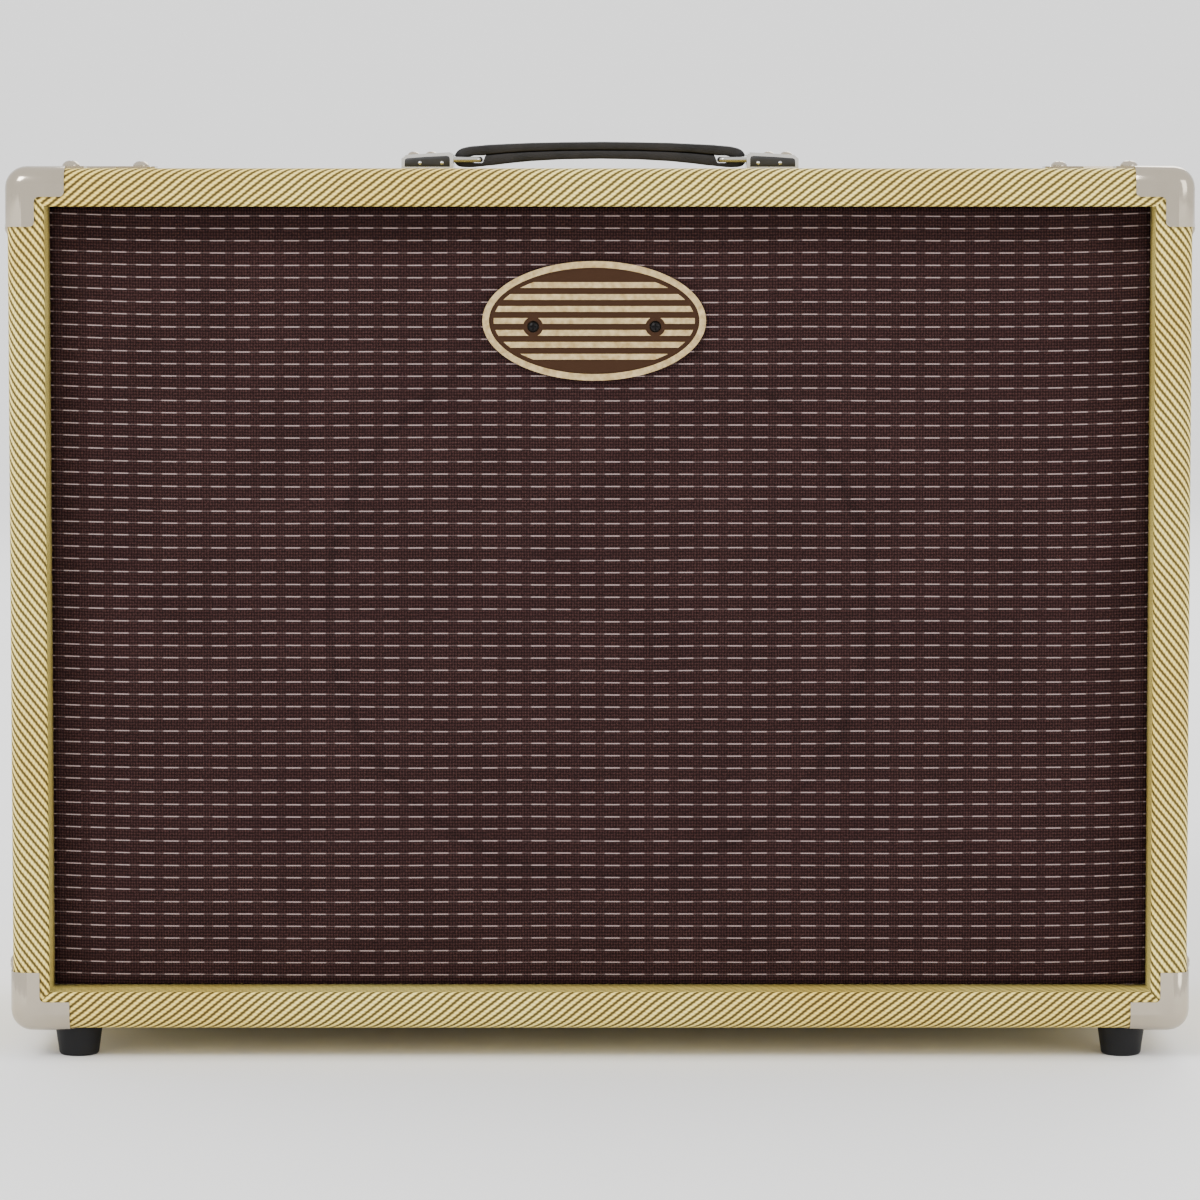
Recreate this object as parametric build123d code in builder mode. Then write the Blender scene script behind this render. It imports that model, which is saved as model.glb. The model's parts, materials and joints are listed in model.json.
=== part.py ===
from build123d import *
import os
from math import cos, pi, radians, sin

os.makedirs("parts", exist_ok=True)

# Guitar amplifier with one 12-inch speaker, in millimetres.
# X runs to the right seen from the front, the front faces -Y, Z is up, and the feet stand on Z = 0.

# Cabinet
body_width = 610.0
body_depth = 265.0
body_height = 446.0
foot_height = 17.0
side_radius = 10.0
edge_radius = 8.0
cloth = 0.8
board = 18.0
grille_recess = 26.0
batten = 18.0

half_width = body_width / 2
half_depth = body_depth / 2
body_bottom = foot_height
body_top = body_bottom + body_height
body_middle = (body_bottom + body_top) / 2
inner_half = half_width - cloth - board
inner_bottom = body_bottom + cloth + board
inner_top = body_top - cloth - board
inner_height = inner_top - inner_bottom
loose = 0.3

# Baffle, grille and badge
baffle_thickness = 12.0
baffle_hole_radius = 141.5
grille_front = -half_depth + grille_recess
baffle_front = grille_front + cloth
baffle_back = baffle_front + baffle_thickness
speaker_height = body_middle - 5.0
badge_centre = (-3.0, body_top - 79.0)
badge_radii = (58.0, 31.0)
badge_base = 1.8
badge_relief = 1.4
badge_rim = 3.4
badge_flute = 3.0
badge_flute_pitch = 6.2
badge_flutes = 7
badge_screw_offset = 31.7

# Corner protectors: each has a narrow L on the front or rear face and a lobe on the two other faces
corner_sheet = 1.2
corner_leg = 30.0
corner_leg_width = 14.6
lobe_reach = 38.0
lobe_depth = 41.0
rear_lobe_reach = 56.0
corner_screw_in = 30.5
rear_screw_in = 47.5
corner_screw_back = 30.0

# Feet
foot_from_side = 32.0
foot_from_front = 27.0
foot_top_radius = 12.5
foot_bottom_radius = 10.2

# Handle: a strap hung on two wire links, which turn under two end caps
strap_half = 78.2
strap_width = 26.0
strap_rise = 14.4
strap_gap = 5.0
strap_end_rise = 11.8
strap_rest = 0.4
slot_travel = 1.6
link_wire = 1.5
link_half_width = 15.0
link_far = 64.7
link_pivot = 84.7
link_height = 4.7
cap_inner = 78.7
cap_outer = 106.5
cap_width = 36.0
cap_height = 8.6
cap_end_height = 7.2

# Back: control panel above, open middle, board below
panel_face = half_depth - 20.5
panel_sheet = 2.0
panel_bottom = inner_top - 73.0
batten_face = panel_face - panel_sheet
back_board = 9.0
back_board_height = 105.0
chassis_half = 262.0
chassis_sheet = 1.6
chassis_front = 22.0
chassis_floor = inner_top - 68.0
control_height = (panel_bottom + inner_top) / 2
wall_inside = batten_face - chassis_sheet

# Controls, named from the left of a person who faces the back (+X first)
input_jack_x = 240.0
knob_places = {"volume": 170.0, "bass": 110.0, "treble": 50.0, "master": -10.0}
switch_places = {"standby": -72.0, "power": -108.0}
lamp_x = -143.0
speaker_jack_x = -174.0
fuse_x = -202.0
inlet_x = -243.0
knob_rest_angle = 150.0
toggle_tilt = 15.0

# Speaker
flange_radius = 154.5
flange_inner = 132.0
basket_sheet = 1.5
gasket_thickness = 2.0
bolt_circle = 148.5
bolt_radius = 2.4
cone_radius = 117.5
cone_paper = 1.0
coil_radius = 25.4
coil_wall = 1.0
flange_front = baffle_back + gasket_thickness

speaker_axis = Axis((0, 0, speaker_height), (0, 1, 0))
radius_plane = Plane.XY.offset(speaker_height)


def upright(y):
    """An upright plane across the cabinet at depth y: local x is X and local y is Z."""
    return Plane.XZ.offset(-y)


def save(builder, name):
    """Labels a finished piece and writes it to a file of its own."""
    builder.part.label = name
    export_step(builder.part, f"parts/{name}.step")


def rounded_block(grow):
    """The cabinet's outer block with all its edges rounded, grown outwards by a distance."""
    with BuildPart() as block:
        with BuildSketch(upright(half_depth + grow)):
            with Locations((0, body_middle)):
                RectangleRounded(body_width + 2 * grow, body_height + 2 * grow, side_radius + grow)
        extrude(amount=body_depth + 2 * grow)
        fillet(block.faces().filter_by(Axis.Y).edges(), edge_radius + grow)
    return block.part


def cross_head_screw(head_radius, head_height, shank_radius, length):
    """A domed screw with a cross recess: its head sits on local Z = 0 and its shank points down."""
    with BuildPart() as screw:
        with BuildSketch(Plane.XZ):
            with BuildLine():
                Polyline((0, head_height), (0, -length), (shank_radius, -length + shank_radius))
                Polyline((shank_radius, -length + shank_radius), (shank_radius, 0), (head_radius, 0))
                Line((head_radius, 0), (head_radius, head_height * 0.25))
                ThreePointArc(
                    (head_radius, head_height * 0.25),
                    (head_radius * 0.68, head_height * 0.8),
                    (0, head_height),
                )
            make_face()
        revolve(axis=Axis.Z)
        with BuildSketch(Plane.XY.offset(head_height * 0.35)):
            Rectangle(head_radius * 1.1, head_radius * 0.2)
            Rectangle(head_radius * 0.2, head_radius * 1.1)
        extrude(amount=head_height, mode=Mode.SUBTRACT)
    return screw.part


def shifted(places, outwards):
    """The same planes moved along their normals."""
    return [place.offset(outwards) for place in places]


def drilled(places, radius, depth):
    """Round bars along the inward normals of some planes, to be cut away as screw holes."""
    above = 4.0
    with BuildPart() as bars:
        with Locations(*shifted(places, above)):
            Cylinder(radius, depth + above, align=(Align.CENTER, Align.CENTER, Align.MAX))
    return bars.part


# ---- Fastener places -------------------------------------------------------------------------

corner_y = half_depth - corner_screw_back
corner_screw_insets = ((-corner_y, corner_screw_in), (corner_y, rear_screw_in))
foot_x = half_width - foot_from_side
foot_y = half_depth - foot_from_front

top_screw_places = [
    Plane((side * (half_width - inset), y, body_top + corner_sheet), z_dir=(0, 0, 1))
    for side in (-1, 1)
    for y, inset in corner_screw_insets
]
side_screw_places = [
    Plane((side * (half_width + corner_sheet), y, z), x_dir=(0, 1, 0), z_dir=(side, 0, 0))
    for side in (-1, 1)
    for y, inset in corner_screw_insets
    for z in (body_bottom + inset, body_top - inset)
]
corner_screw_places = top_screw_places + side_screw_places
foot_places = [
    Plane((x, y, 0), x_dir=(1, 0, 0), z_dir=(0, 0, -1))
    for x in (-foot_x, foot_x)
    for y in (-foot_y, foot_y)
]
cap_screw_xs = (91.0, 100.5)
cap_screw_level = body_top + cap_end_height
cap_screw_places = [
    Plane((side * x, 0, cap_screw_level), z_dir=(0, 0, 1))
    for side in (-1, 1)
    for x in cap_screw_xs
]

corner_shank = 1.8
corner_screw_length = 15.0
foot_shank = 2.2
foot_head_height = 2.6
foot_recess = 6.0
foot_screw_length = 26.0
cap_shank = 1.6
cap_screw_length = 18.0
hole_clearance = 0.1

corner_holes = drilled(corner_screw_places, corner_shank + hole_clearance, corner_screw_length)
foot_holes = drilled(foot_places, foot_shank + hole_clearance, foot_recess + foot_screw_length + loose)
cap_holes = drilled(cap_screw_places, cap_shank + hole_clearance, cap_screw_length)

# ---- Cabinet boards and covering -------------------------------------------------------------

wood_block = rounded_block(-cloth)
cloth_block = rounded_block(0)
sheet_block = rounded_block(corner_sheet)

above_opening = Plane((0, 0, inner_top), z_dir=(0, 0, 1))
below_opening = Plane((0, 0, inner_bottom), z_dir=(0, 0, -1))

for name, side_plane in (("top_board", above_opening), ("bottom_board", below_opening)):
    with BuildPart() as flat_board:
        add(wood_block)
        split(bisect_by=side_plane, keep=Keep.TOP)
        add(corner_holes, mode=Mode.SUBTRACT)
        add(foot_holes, mode=Mode.SUBTRACT)
        add(cap_holes, mode=Mode.SUBTRACT)
    save(flat_board, name)

for name, side in (("left_side_board", -1), ("right_side_board", 1)):
    beside_opening = Plane((side * inner_half, 0, 0), x_dir=(0, 1, 0), z_dir=(side, 0, 0))
    with BuildPart() as side_board:
        add(wood_block)
        split(bisect_by=beside_opening, keep=Keep.TOP)
        split(bisect_by=above_opening, keep=Keep.BOTTOM)
        split(bisect_by=below_opening, keep=Keep.BOTTOM)
        add(corner_holes, mode=Mode.SUBTRACT)
    save(side_board, name)

with BuildPart() as wood_frame:
    add(wood_block)
    with BuildSketch(upright(half_depth)):
        with Locations((0, body_middle)):
            Rectangle(2 * inner_half, inner_height)
    extrude(amount=body_depth, mode=Mode.SUBTRACT)

# The cloth wraps the boards outside, round both edges, and inside as far as the grille and the panels.
with BuildPart() as tweed_covering:
    add(cloth_block)
    add(wood_frame.part, mode=Mode.SUBTRACT)
    with BuildSketch(upright(half_depth)):
        with Locations((0, body_middle)):
            Rectangle(2 * (inner_half - cloth), inner_height - 2 * cloth)
    extrude(amount=body_depth, mode=Mode.SUBTRACT)
    with BuildSketch(upright(batten_face)):
        with Locations((0, body_middle)):
            Rectangle(2 * inner_half, inner_height)
    extrude(amount=batten_face - grille_front, mode=Mode.SUBTRACT)
    add(corner_holes, mode=Mode.SUBTRACT)
    add(foot_holes, mode=Mode.SUBTRACT)
    add(cap_holes, mode=Mode.SUBTRACT)
save(tweed_covering, "tweed_covering")

rear_screw_shank = 1.6
rear_screw_x = inner_half - batten / 2
back_board_bottom = inner_bottom + cloth + loose
back_board_top = back_board_bottom + back_board_height
panel_screw_places = [
    Plane((x, panel_face, control_height + z), x_dir=(1, 0, 0), z_dir=(0, 1, 0))
    for x in (-rear_screw_x, rear_screw_x)
    for z in (-25.0, 25.0)
]
inlet_screw_places = [
    Plane((inlet_x + x, panel_face + 2.6, control_height), x_dir=(1, 0, 0), z_dir=(0, 1, 0))
    for x in (-20.0, 20.0)
]
board_screw_places = [
    Plane((x, batten_face + back_board, z), x_dir=(1, 0, 0), z_dir=(0, 1, 0))
    for x, z in (
        (-rear_screw_x, back_board_bottom + 30.0),
        (rear_screw_x, back_board_bottom + 30.0),
        (-rear_screw_x, back_board_top - 14.0),
        (rear_screw_x, back_board_top - 14.0),
        (-95.0, inner_bottom + batten / 2),
        (95.0, inner_bottom + batten / 2),
    )
]
rear_screw_places = panel_screw_places + inlet_screw_places + board_screw_places
rear_screw_length = 17.0
rear_holes = drilled(rear_screw_places, rear_screw_shank + hole_clearance, rear_screw_length)

with BuildPart() as battens:
    for face, top_rail in ((baffle_back + batten, True), (batten_face, False)):
        with BuildSketch(upright(face)):
            rail_reach = inner_half - batten / 2
            with Locations((-rail_reach, body_middle), (rail_reach, body_middle)):
                Rectangle(batten, inner_height)
            with Locations((0, inner_bottom + batten / 2)):
                Rectangle(2 * (inner_half - batten) - 2 * loose, batten)
            if top_rail:
                with Locations((0, inner_top - batten / 2)):
                    Rectangle(2 * (inner_half - batten) - 2 * loose, batten)
        extrude(amount=batten)
    add(rear_holes, mode=Mode.SUBTRACT)
save(battens, "battens")

# ---- Baffle, grille cloth and badge ----------------------------------------------------------

bolt_places = [
    (bolt_circle * cos(radians(angle)), speaker_height + bolt_circle * sin(radians(angle)))
    for angle in range(22, 360, 45)
]
bolt_head_radius = 5.5
bolt_head_height = 1.8
badge_screw_places = [
    (badge_centre[0] + side * badge_screw_offset, badge_centre[1] - 3.0) for side in (-1, 1)
]
badge_shank = 1.4
badge_screw_seat = 5.2
badge_screw_length = 13.0

with BuildPart() as baffle_board:
    with BuildSketch(upright(baffle_back)):
        with Locations((0, body_middle)):
            Rectangle(2 * (inner_half - loose), inner_height - 2 * loose)
        with Locations((0, speaker_height)):
            Circle(baffle_hole_radius, mode=Mode.SUBTRACT)
        with Locations(*bolt_places):
            Circle(bolt_radius + hole_clearance, mode=Mode.SUBTRACT)
        with Locations(*badge_screw_places):
            Circle(badge_shank + hole_clearance, mode=Mode.SUBTRACT)
    extrude(amount=baffle_thickness)
    with BuildSketch(upright(baffle_front + bolt_head_height + hole_clearance)):
        with Locations(*bolt_places):
            Circle(bolt_head_radius + hole_clearance)
    extrude(amount=baffle_thickness, mode=Mode.SUBTRACT)
save(baffle_board, "baffle_board")

with BuildPart() as grille_cloth:
    with BuildSketch(upright(baffle_front)):
        with Locations((0, body_middle)):
            Rectangle(2 * (inner_half - loose), inner_height - 2 * loose)
        with Locations(*badge_screw_places):
            Circle(badge_shank + hole_clearance, mode=Mode.SUBTRACT)
    extrude(amount=cloth)
save(grille_cloth, "grille_cloth")

with BuildPart() as badge_plate:
    with BuildSketch(upright(grille_front)):
        with Locations(badge_centre):
            Ellipse(*badge_radii)
    extrude(amount=badge_base)
    with BuildSketch(upright(grille_front - badge_base)):
        with Locations(badge_centre):
            Ellipse(*badge_radii)
            Ellipse(badge_radii[0] - badge_rim, badge_radii[1] - badge_rim, mode=Mode.SUBTRACT)
    extrude(amount=badge_relief)
    with BuildSketch(upright(grille_front - badge_base)):
        with Locations(badge_centre):
            with GridLocations(1, badge_flute_pitch, 1, badge_flutes):
                Rectangle(2 * badge_radii[0], badge_flute)
            Ellipse(badge_radii[0] - badge_rim - 2.4, badge_radii[1] - badge_rim - 2.4, mode=Mode.INTERSECT)
        with Locations(*badge_screw_places):
            Circle(badge_screw_seat, mode=Mode.SUBTRACT)
    extrude(amount=badge_relief * 0.75)
    with BuildSketch(upright(grille_front)):
        with Locations(*badge_screw_places):
            Circle(badge_shank + hole_clearance)
    extrude(amount=badge_base, mode=Mode.SUBTRACT)
save(badge_plate, "badge_plate")

badge_screw = cross_head_screw(3.0, 1.9, badge_shank, badge_screw_length)
with BuildPart() as badge_screws:
    with Locations(
        *[Plane((x, grille_front - badge_base, z), z_dir=(0, -1, 0)) for x, z in badge_screw_places]
    ):
        add(badge_screw)
save(badge_screws, "badge_screws")

# ---- Corner protectors -----------------------------------------------------------------------

outside = 5.0
neck_depth = 33.0


def corner_reach(upwards, reach_along):
    """The region of one front right corner: an L seen from the front and a lobe on each other face."""
    lobe_points = [
        (-outside, 0),
        (corner_leg, 0),
        (corner_leg, 10.0),
        (reach_along, 21.0),
        (reach_along, lobe_depth),
        (reach_along - 21.0, lobe_depth),
        (10.0, neck_depth),
        (-outside, neck_depth),
    ]
    z_edge = body_top if upwards else body_bottom
    inward = -1 if upwards else 1
    with BuildPart() as reach:
        with BuildSketch(upright(-half_depth + edge_radius)):
            with BuildLine():
                Polyline(
                    (half_width + outside, z_edge - inward * outside),
                    (half_width - corner_leg, z_edge - inward * outside),
                    (half_width - corner_leg, z_edge + inward * corner_leg_width),
                    (half_width - corner_leg_width, z_edge + inward * corner_leg_width),
                    (half_width - corner_leg_width, z_edge + inward * corner_leg),
                    (half_width + outside, z_edge + inward * corner_leg),
                    close=True,
                )
            legs = make_face()
            ends = legs.vertices().sort_by_distance((half_width + outside, 0, z_edge - inward * outside))
            fillet([ends[1], ends[2], ends[3]], 2.6)
        extrude(amount=edge_radius + outside)
        with BuildSketch(Plane.XY.offset(z_edge - inward * outside)):
            with BuildLine():
                Polyline(
                    *[(half_width - across, -half_depth + back) for across, back in lobe_points],
                    close=True,
                )
            make_face()
        extrude(amount=inward * (outside + side_radius))
        with BuildSketch(Plane.YZ.offset(half_width - side_radius)):
            with BuildLine():
                Polyline(
                    *[(-half_depth + back, z_edge + inward * across) for across, back in lobe_points],
                    close=True,
                )
            make_face()
        extrude(amount=outside + side_radius)
    return reach.part


def pressed_corners(reach_along):
    """The two right-hand corners of the front as sheet on the cloth, with their lobes rounded off."""
    upper_reach = corner_reach(True, reach_along)
    lower_reach = corner_reach(False, reach_along)
    with BuildPart() as corners:
        add(upper_reach)
        add(lower_reach)
        add(sheet_block, mode=Mode.INTERSECT)
        add(cloth_block, mode=Mode.SUBTRACT)
        flap_edges = corners.edges().filter_by(GeomType.LINE)
        side_tips = flap_edges.filter_by(Axis.X).filter_by(lambda edge: edge.length < corner_sheet + 0.01)
        flat_tips = flap_edges.filter_by(Axis.Z).filter_by(lambda edge: edge.length < corner_sheet + 0.01)
        lobe_tips = [tip for tip in side_tips + flat_tips if tip.center().Y > -half_depth + 30.0]
        fillet(lobe_tips, 4.0)
    return corners.part


short_corners = pressed_corners(lobe_reach)
long_corners = pressed_corners(rear_lobe_reach)

with BuildPart() as front_corner_protectors:
    add(short_corners)
    mirror(about=Plane.YZ)
    add(corner_holes, mode=Mode.SUBTRACT)
    add(foot_holes, mode=Mode.SUBTRACT)
save(front_corner_protectors, "front_corner_protectors")

with BuildPart() as rear_corner_protectors:
    mirror(long_corners, about=Plane.XZ)
    mirror(about=Plane.YZ)
    add(corner_holes, mode=Mode.SUBTRACT)
    add(foot_holes, mode=Mode.SUBTRACT)
save(rear_corner_protectors, "rear_corner_protectors")

corner_screw = cross_head_screw(4.5, 2.8, corner_shank, corner_screw_length - hole_clearance)
with BuildPart() as corner_screws:
    with Locations(*corner_screw_places):
        add(corner_screw)
save(corner_screws, "corner_screws")

# ---- Feet ------------------------------------------------------------------------------------

foot_body = foot_height - corner_sheet
with BuildPart() as rubber_foot:
    Cone(
        foot_bottom_radius,
        foot_top_radius,
        foot_body,
        align=(Align.CENTER, Align.CENTER, Align.MIN),
    )
    fillet(rubber_foot.edges().filter_by(GeomType.CIRCLE).group_by(Axis.Z)[0], 1.6)
    foot_seat = 5.4
    Cylinder(foot_seat, foot_recess, align=(Align.CENTER, Align.CENTER, Align.MIN), mode=Mode.SUBTRACT)
    Cylinder(foot_shank + hole_clearance, 2 * foot_body, mode=Mode.SUBTRACT)

with BuildPart() as rubber_feet:
    with Locations(*[(place.origin.X, place.origin.Y, 0) for place in foot_places]):
        add(rubber_foot.part)
save(rubber_feet, "rubber_feet")

foot_screw = cross_head_screw(4.6, foot_head_height, foot_shank, foot_screw_length)
with BuildPart() as foot_screws:
    with Locations(*shifted(foot_places, -foot_recess)):
        add(foot_screw)
save(foot_screws, "foot_screws")

# ---- Handle ----------------------------------------------------------------------------------

with BuildPart() as handle_strap:
    with BuildSketch(Plane.XZ.offset(-strap_width / 2)):
        with BuildLine():
            ThreePointArc(
                (-strap_half + 4, body_top + strap_end_rise - 0.6),
                (0, body_top + strap_rise),
                (strap_half - 4, body_top + strap_end_rise - 0.6),
            )
            ThreePointArc(
                (strap_half - 8, body_top + strap_rest),
                (0, body_top + strap_gap),
                (-strap_half + 8, body_top + strap_rest),
            )
            for side in (-1, 1):
                Polyline(
                    (side * (strap_half - 4), body_top + strap_end_rise - 0.6),
                    (side * strap_half, body_top + 8.0),
                    (side * strap_half, body_top + 2.2),
                    (side * (strap_half - 8), body_top + strap_rest),
                )
        make_face()
    extrude(amount=strap_width)
    with BuildSketch(Plane.XZ.offset(-strap_width / 2)):
        for side in (-1, 1):
            with Locations((side * (link_far + slot_travel / 2), body_top + link_height)):
                SlotOverall(2 * (link_wire + 0.3) + slot_travel, 2 * (link_wire + 0.3))
    extrude(amount=strap_width, mode=Mode.SUBTRACT)
save(handle_strap, "handle_strap")

for name, side in (("handle_link_left", -1), ("handle_link_right", 1)):
    with BuildPart() as handle_link:
        with BuildLine(Plane.XY.offset(body_top + link_height)):
            FilletPolyline(
                (side * link_far, 0),
                (side * link_far, -link_half_width),
                (side * link_pivot, -link_half_width),
                (side * link_pivot, link_half_width),
                (side * link_far, link_half_width),
                (side * link_far, 0.01),
                radius=2.2,
            )
        with BuildSketch(Plane((side * link_far, 0, body_top + link_height), z_dir=(0, -1, 0))):
            Circle(link_wire)
        sweep()
    save(handle_link, name)

cap_screw_seat = 3.4
slot_y = (link_half_width - 3.4, link_half_width + 2.0)
slot_floor = link_height - link_wire - 0.4
for name, side in (("handle_cap_left", -1), ("handle_cap_right", 1)):
    with BuildPart() as handle_cap:
        with BuildSketch(Plane.XZ.offset(-cap_width / 2)):
            with BuildLine():
                Polyline(
                    (side * cap_inner, body_top),
                    (side * cap_outer, body_top),
                    (side * cap_outer, body_top + cap_end_height - 2.0),
                    (side * (cap_outer - 2.5), body_top + cap_end_height),
                    (side * (cap_inner + 2), body_top + cap_height),
                    (side * cap_inner, body_top + cap_height - 1.6),
                    close=True,
                )
            make_face()
        extrude(amount=cap_width)
        with BuildSketch(Plane.XZ.offset(-slot_y[1])):
            with Locations((side * link_pivot, body_top + link_height)):
                Circle(link_wire + 0.06)
        extrude(amount=2 * slot_y[1], mode=Mode.SUBTRACT)
        with BuildSketch(Plane.XY.offset(body_top + slot_floor)):
            with Locations(*[(side * (cap_inner + 3.3), y * sum(slot_y) / 2) for y in (-1, 1)]):
                Rectangle(10.0, slot_y[1] - slot_y[0])
        extrude(amount=cap_height, mode=Mode.SUBTRACT)
        add(cap_holes, mode=Mode.SUBTRACT)
        with Locations(*cap_screw_places):
            Cylinder(
                cap_screw_seat,
                cap_height,
                align=(Align.CENTER, Align.CENTER, Align.MIN),
                mode=Mode.SUBTRACT,
            )
    save(handle_cap, name)

cap_screw = cross_head_screw(3.2, 1.8, cap_shank, cap_screw_length - hole_clearance)
with BuildPart() as handle_screws:
    with Locations(*cap_screw_places):
        add(cap_screw)
save(handle_screws, "handle_screws")

# ---- Back board and control panel ------------------------------------------------------------

panel_half = inner_half - cloth - loose
with BuildPart() as lower_back_panel:
    with BuildSketch(upright(batten_face + back_board)):
        with Locations((0, (back_board_bottom + back_board_top) / 2)):
            Rectangle(2 * panel_half, back_board_height)
    extrude(amount=back_board)
    fillet(lower_back_panel.faces().sort_by(Axis.Y)[-1].edges(), 2.0)
    add(rear_holes, mode=Mode.SUBTRACT)
save(lower_back_panel, "lower_back_panel")

pot_bushing = 4.7
switch_bushing = 5.9
lamp_body = 7.7
fuse_body = 6.2
inlet_body = (28.0, 22.0)
bushing_holes = [(x, control_height) for x in (*knob_places.values(), input_jack_x, speaker_jack_x)]
switch_holes = [(x, control_height) for x in switch_places.values()]

with BuildPart() as control_openings:
    with BuildSketch(upright(panel_face + 1.0)):
        with Locations(*bushing_holes):
            Circle(pot_bushing + hole_clearance)
        with Locations(*switch_holes):
            Circle(switch_bushing + hole_clearance)
        with Locations((lamp_x, control_height)):
            Circle(lamp_body + hole_clearance)
        with Locations((fuse_x, control_height)):
            Circle(fuse_body + hole_clearance)
        with Locations((inlet_x, control_height)):
            Rectangle(inlet_body[0] + 2 * loose, inlet_body[1] + 2 * loose)
    extrude(amount=panel_sheet + chassis_sheet + 2.0)

with BuildPart() as control_panel:
    with BuildSketch(upright(panel_face)):
        with Locations((0, (panel_bottom + inner_top - cloth - loose) / 2)):
            Rectangle(2 * panel_half, inner_top - cloth - loose - panel_bottom)
    extrude(amount=panel_sheet)
    fillet(control_panel.edges().filter_by(Axis.Y), 3.0)
    add(control_openings.part, mode=Mode.SUBTRACT)
    add(rear_holes, mode=Mode.SUBTRACT)
save(control_panel, "control_panel")

ear_reach = 18.0
ear_depth = (40.0, 84.0)
ear_middle = chassis_half + ear_reach / 2
ear_screw_ys = (50.0, 74.0)
ear_shank = 2.0
ear_screw_places = [
    Plane((side * ear_middle, y, inner_top - chassis_sheet), x_dir=(1, 0, 0), z_dir=(0, 0, -1))
    for side in (-1, 1)
    for y in ear_screw_ys
]
ear_holes = drilled(ear_screw_places, ear_shank + hole_clearance, 2 * chassis_sheet)
small_socket = 9.0
large_socket = 10.5
preamp_places = [(-60.0, 66.0), (-15.0, 66.0)]
power_places = [(45.0, 66.0), (90.0, 66.0)]
lead_exit = (-112.0, 58.0)
chassis_depth = batten_face - chassis_front

with BuildPart() as chassis:
    with BuildSketch(Plane.XY.offset(chassis_floor)):
        with Locations((0, (chassis_front + batten_face) / 2)):
            Rectangle(2 * chassis_half, chassis_depth)
    extrude(amount=inner_top - chassis_floor)
    with BuildSketch(Plane.XY.offset(chassis_floor + chassis_sheet)):
        with Locations((0, (chassis_front + batten_face) / 2)):
            Rectangle(2 * (chassis_half - chassis_sheet), chassis_depth - 2 * chassis_sheet)
    extrude(amount=inner_top - chassis_floor, mode=Mode.SUBTRACT)
    with BuildSketch(Plane.XY.offset(inner_top - chassis_sheet)):
        for side in (-1, 1):
            with Locations((side * ear_middle, sum(ear_depth) / 2)):
                Rectangle(ear_reach, ear_depth[1] - ear_depth[0])
    extrude(amount=chassis_sheet)
    with BuildSketch(Plane.XY.offset(chassis_floor)):
        with Locations(*preamp_places):
            Circle(small_socket)
        with Locations(*power_places):
            Circle(large_socket)
        with Locations(lead_exit):
            Circle(3.4)
    extrude(amount=chassis_sheet, mode=Mode.SUBTRACT)
    add(control_openings.part, mode=Mode.SUBTRACT)
    add(rear_holes, mode=Mode.SUBTRACT)
    add(ear_holes, mode=Mode.SUBTRACT)
save(chassis, "chassis")

ear_screw = cross_head_screw(4.0, 2.4, ear_shank, chassis_sheet - hole_clearance)
with BuildPart() as chassis_screws:
    with Locations(*ear_screw_places):
        add(ear_screw)
save(chassis_screws, "chassis_screws")

inlet_screw_length = 9.0
rear_screw = cross_head_screw(3.6, 2.2, rear_screw_shank, rear_screw_length - hole_clearance)
inlet_screw = cross_head_screw(2.9, 1.8, rear_screw_shank - hole_clearance, inlet_screw_length)
with BuildPart() as rear_panel_screws:
    with Locations(*panel_screw_places, *board_screw_places):
        add(rear_screw)
    with Locations(*inlet_screw_places):
        add(inlet_screw)
save(rear_panel_screws, "rear_panel_screws")

# ---- Controls --------------------------------------------------------------------------------

nut_thickness = 2.6
with BuildPart() as panel_nuts:
    with BuildSketch(upright(panel_face + nut_thickness)):
        with Locations(*bushing_holes):
            RegularPolygon(7.2, 6)
            Circle(pot_bushing + 0.05, mode=Mode.SUBTRACT)
        with Locations(*switch_holes):
            RegularPolygon(8.6, 6)
            Circle(switch_bushing + 0.05, mode=Mode.SUBTRACT)
    extrude(amount=nut_thickness)
save(panel_nuts, "panel_nuts")

shaft_radius = 3.0
shaft_clearance = 0.06
pot_radius = 12.0
knob_places_xz = [(x, control_height) for x in knob_places.values()]
pot_depth = 10.0
bushing_end = panel_face + 5.0
with BuildPart() as potentiometers:
    with BuildSketch(upright(wall_inside)):
        with Locations(*knob_places_xz):
            Circle(pot_radius)
    extrude(amount=pot_depth)
    with BuildSketch(upright(bushing_end)):
        with Locations(*knob_places_xz):
            Circle(pot_bushing)
    extrude(amount=bushing_end - wall_inside)
    with BuildSketch(upright(bushing_end)):
        with Locations(*knob_places_xz):
            Circle(shaft_radius + shaft_clearance)
    extrude(amount=bushing_end - wall_inside + pot_depth - 2.0, mode=Mode.SUBTRACT)
save(potentiometers, "potentiometers")

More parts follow.
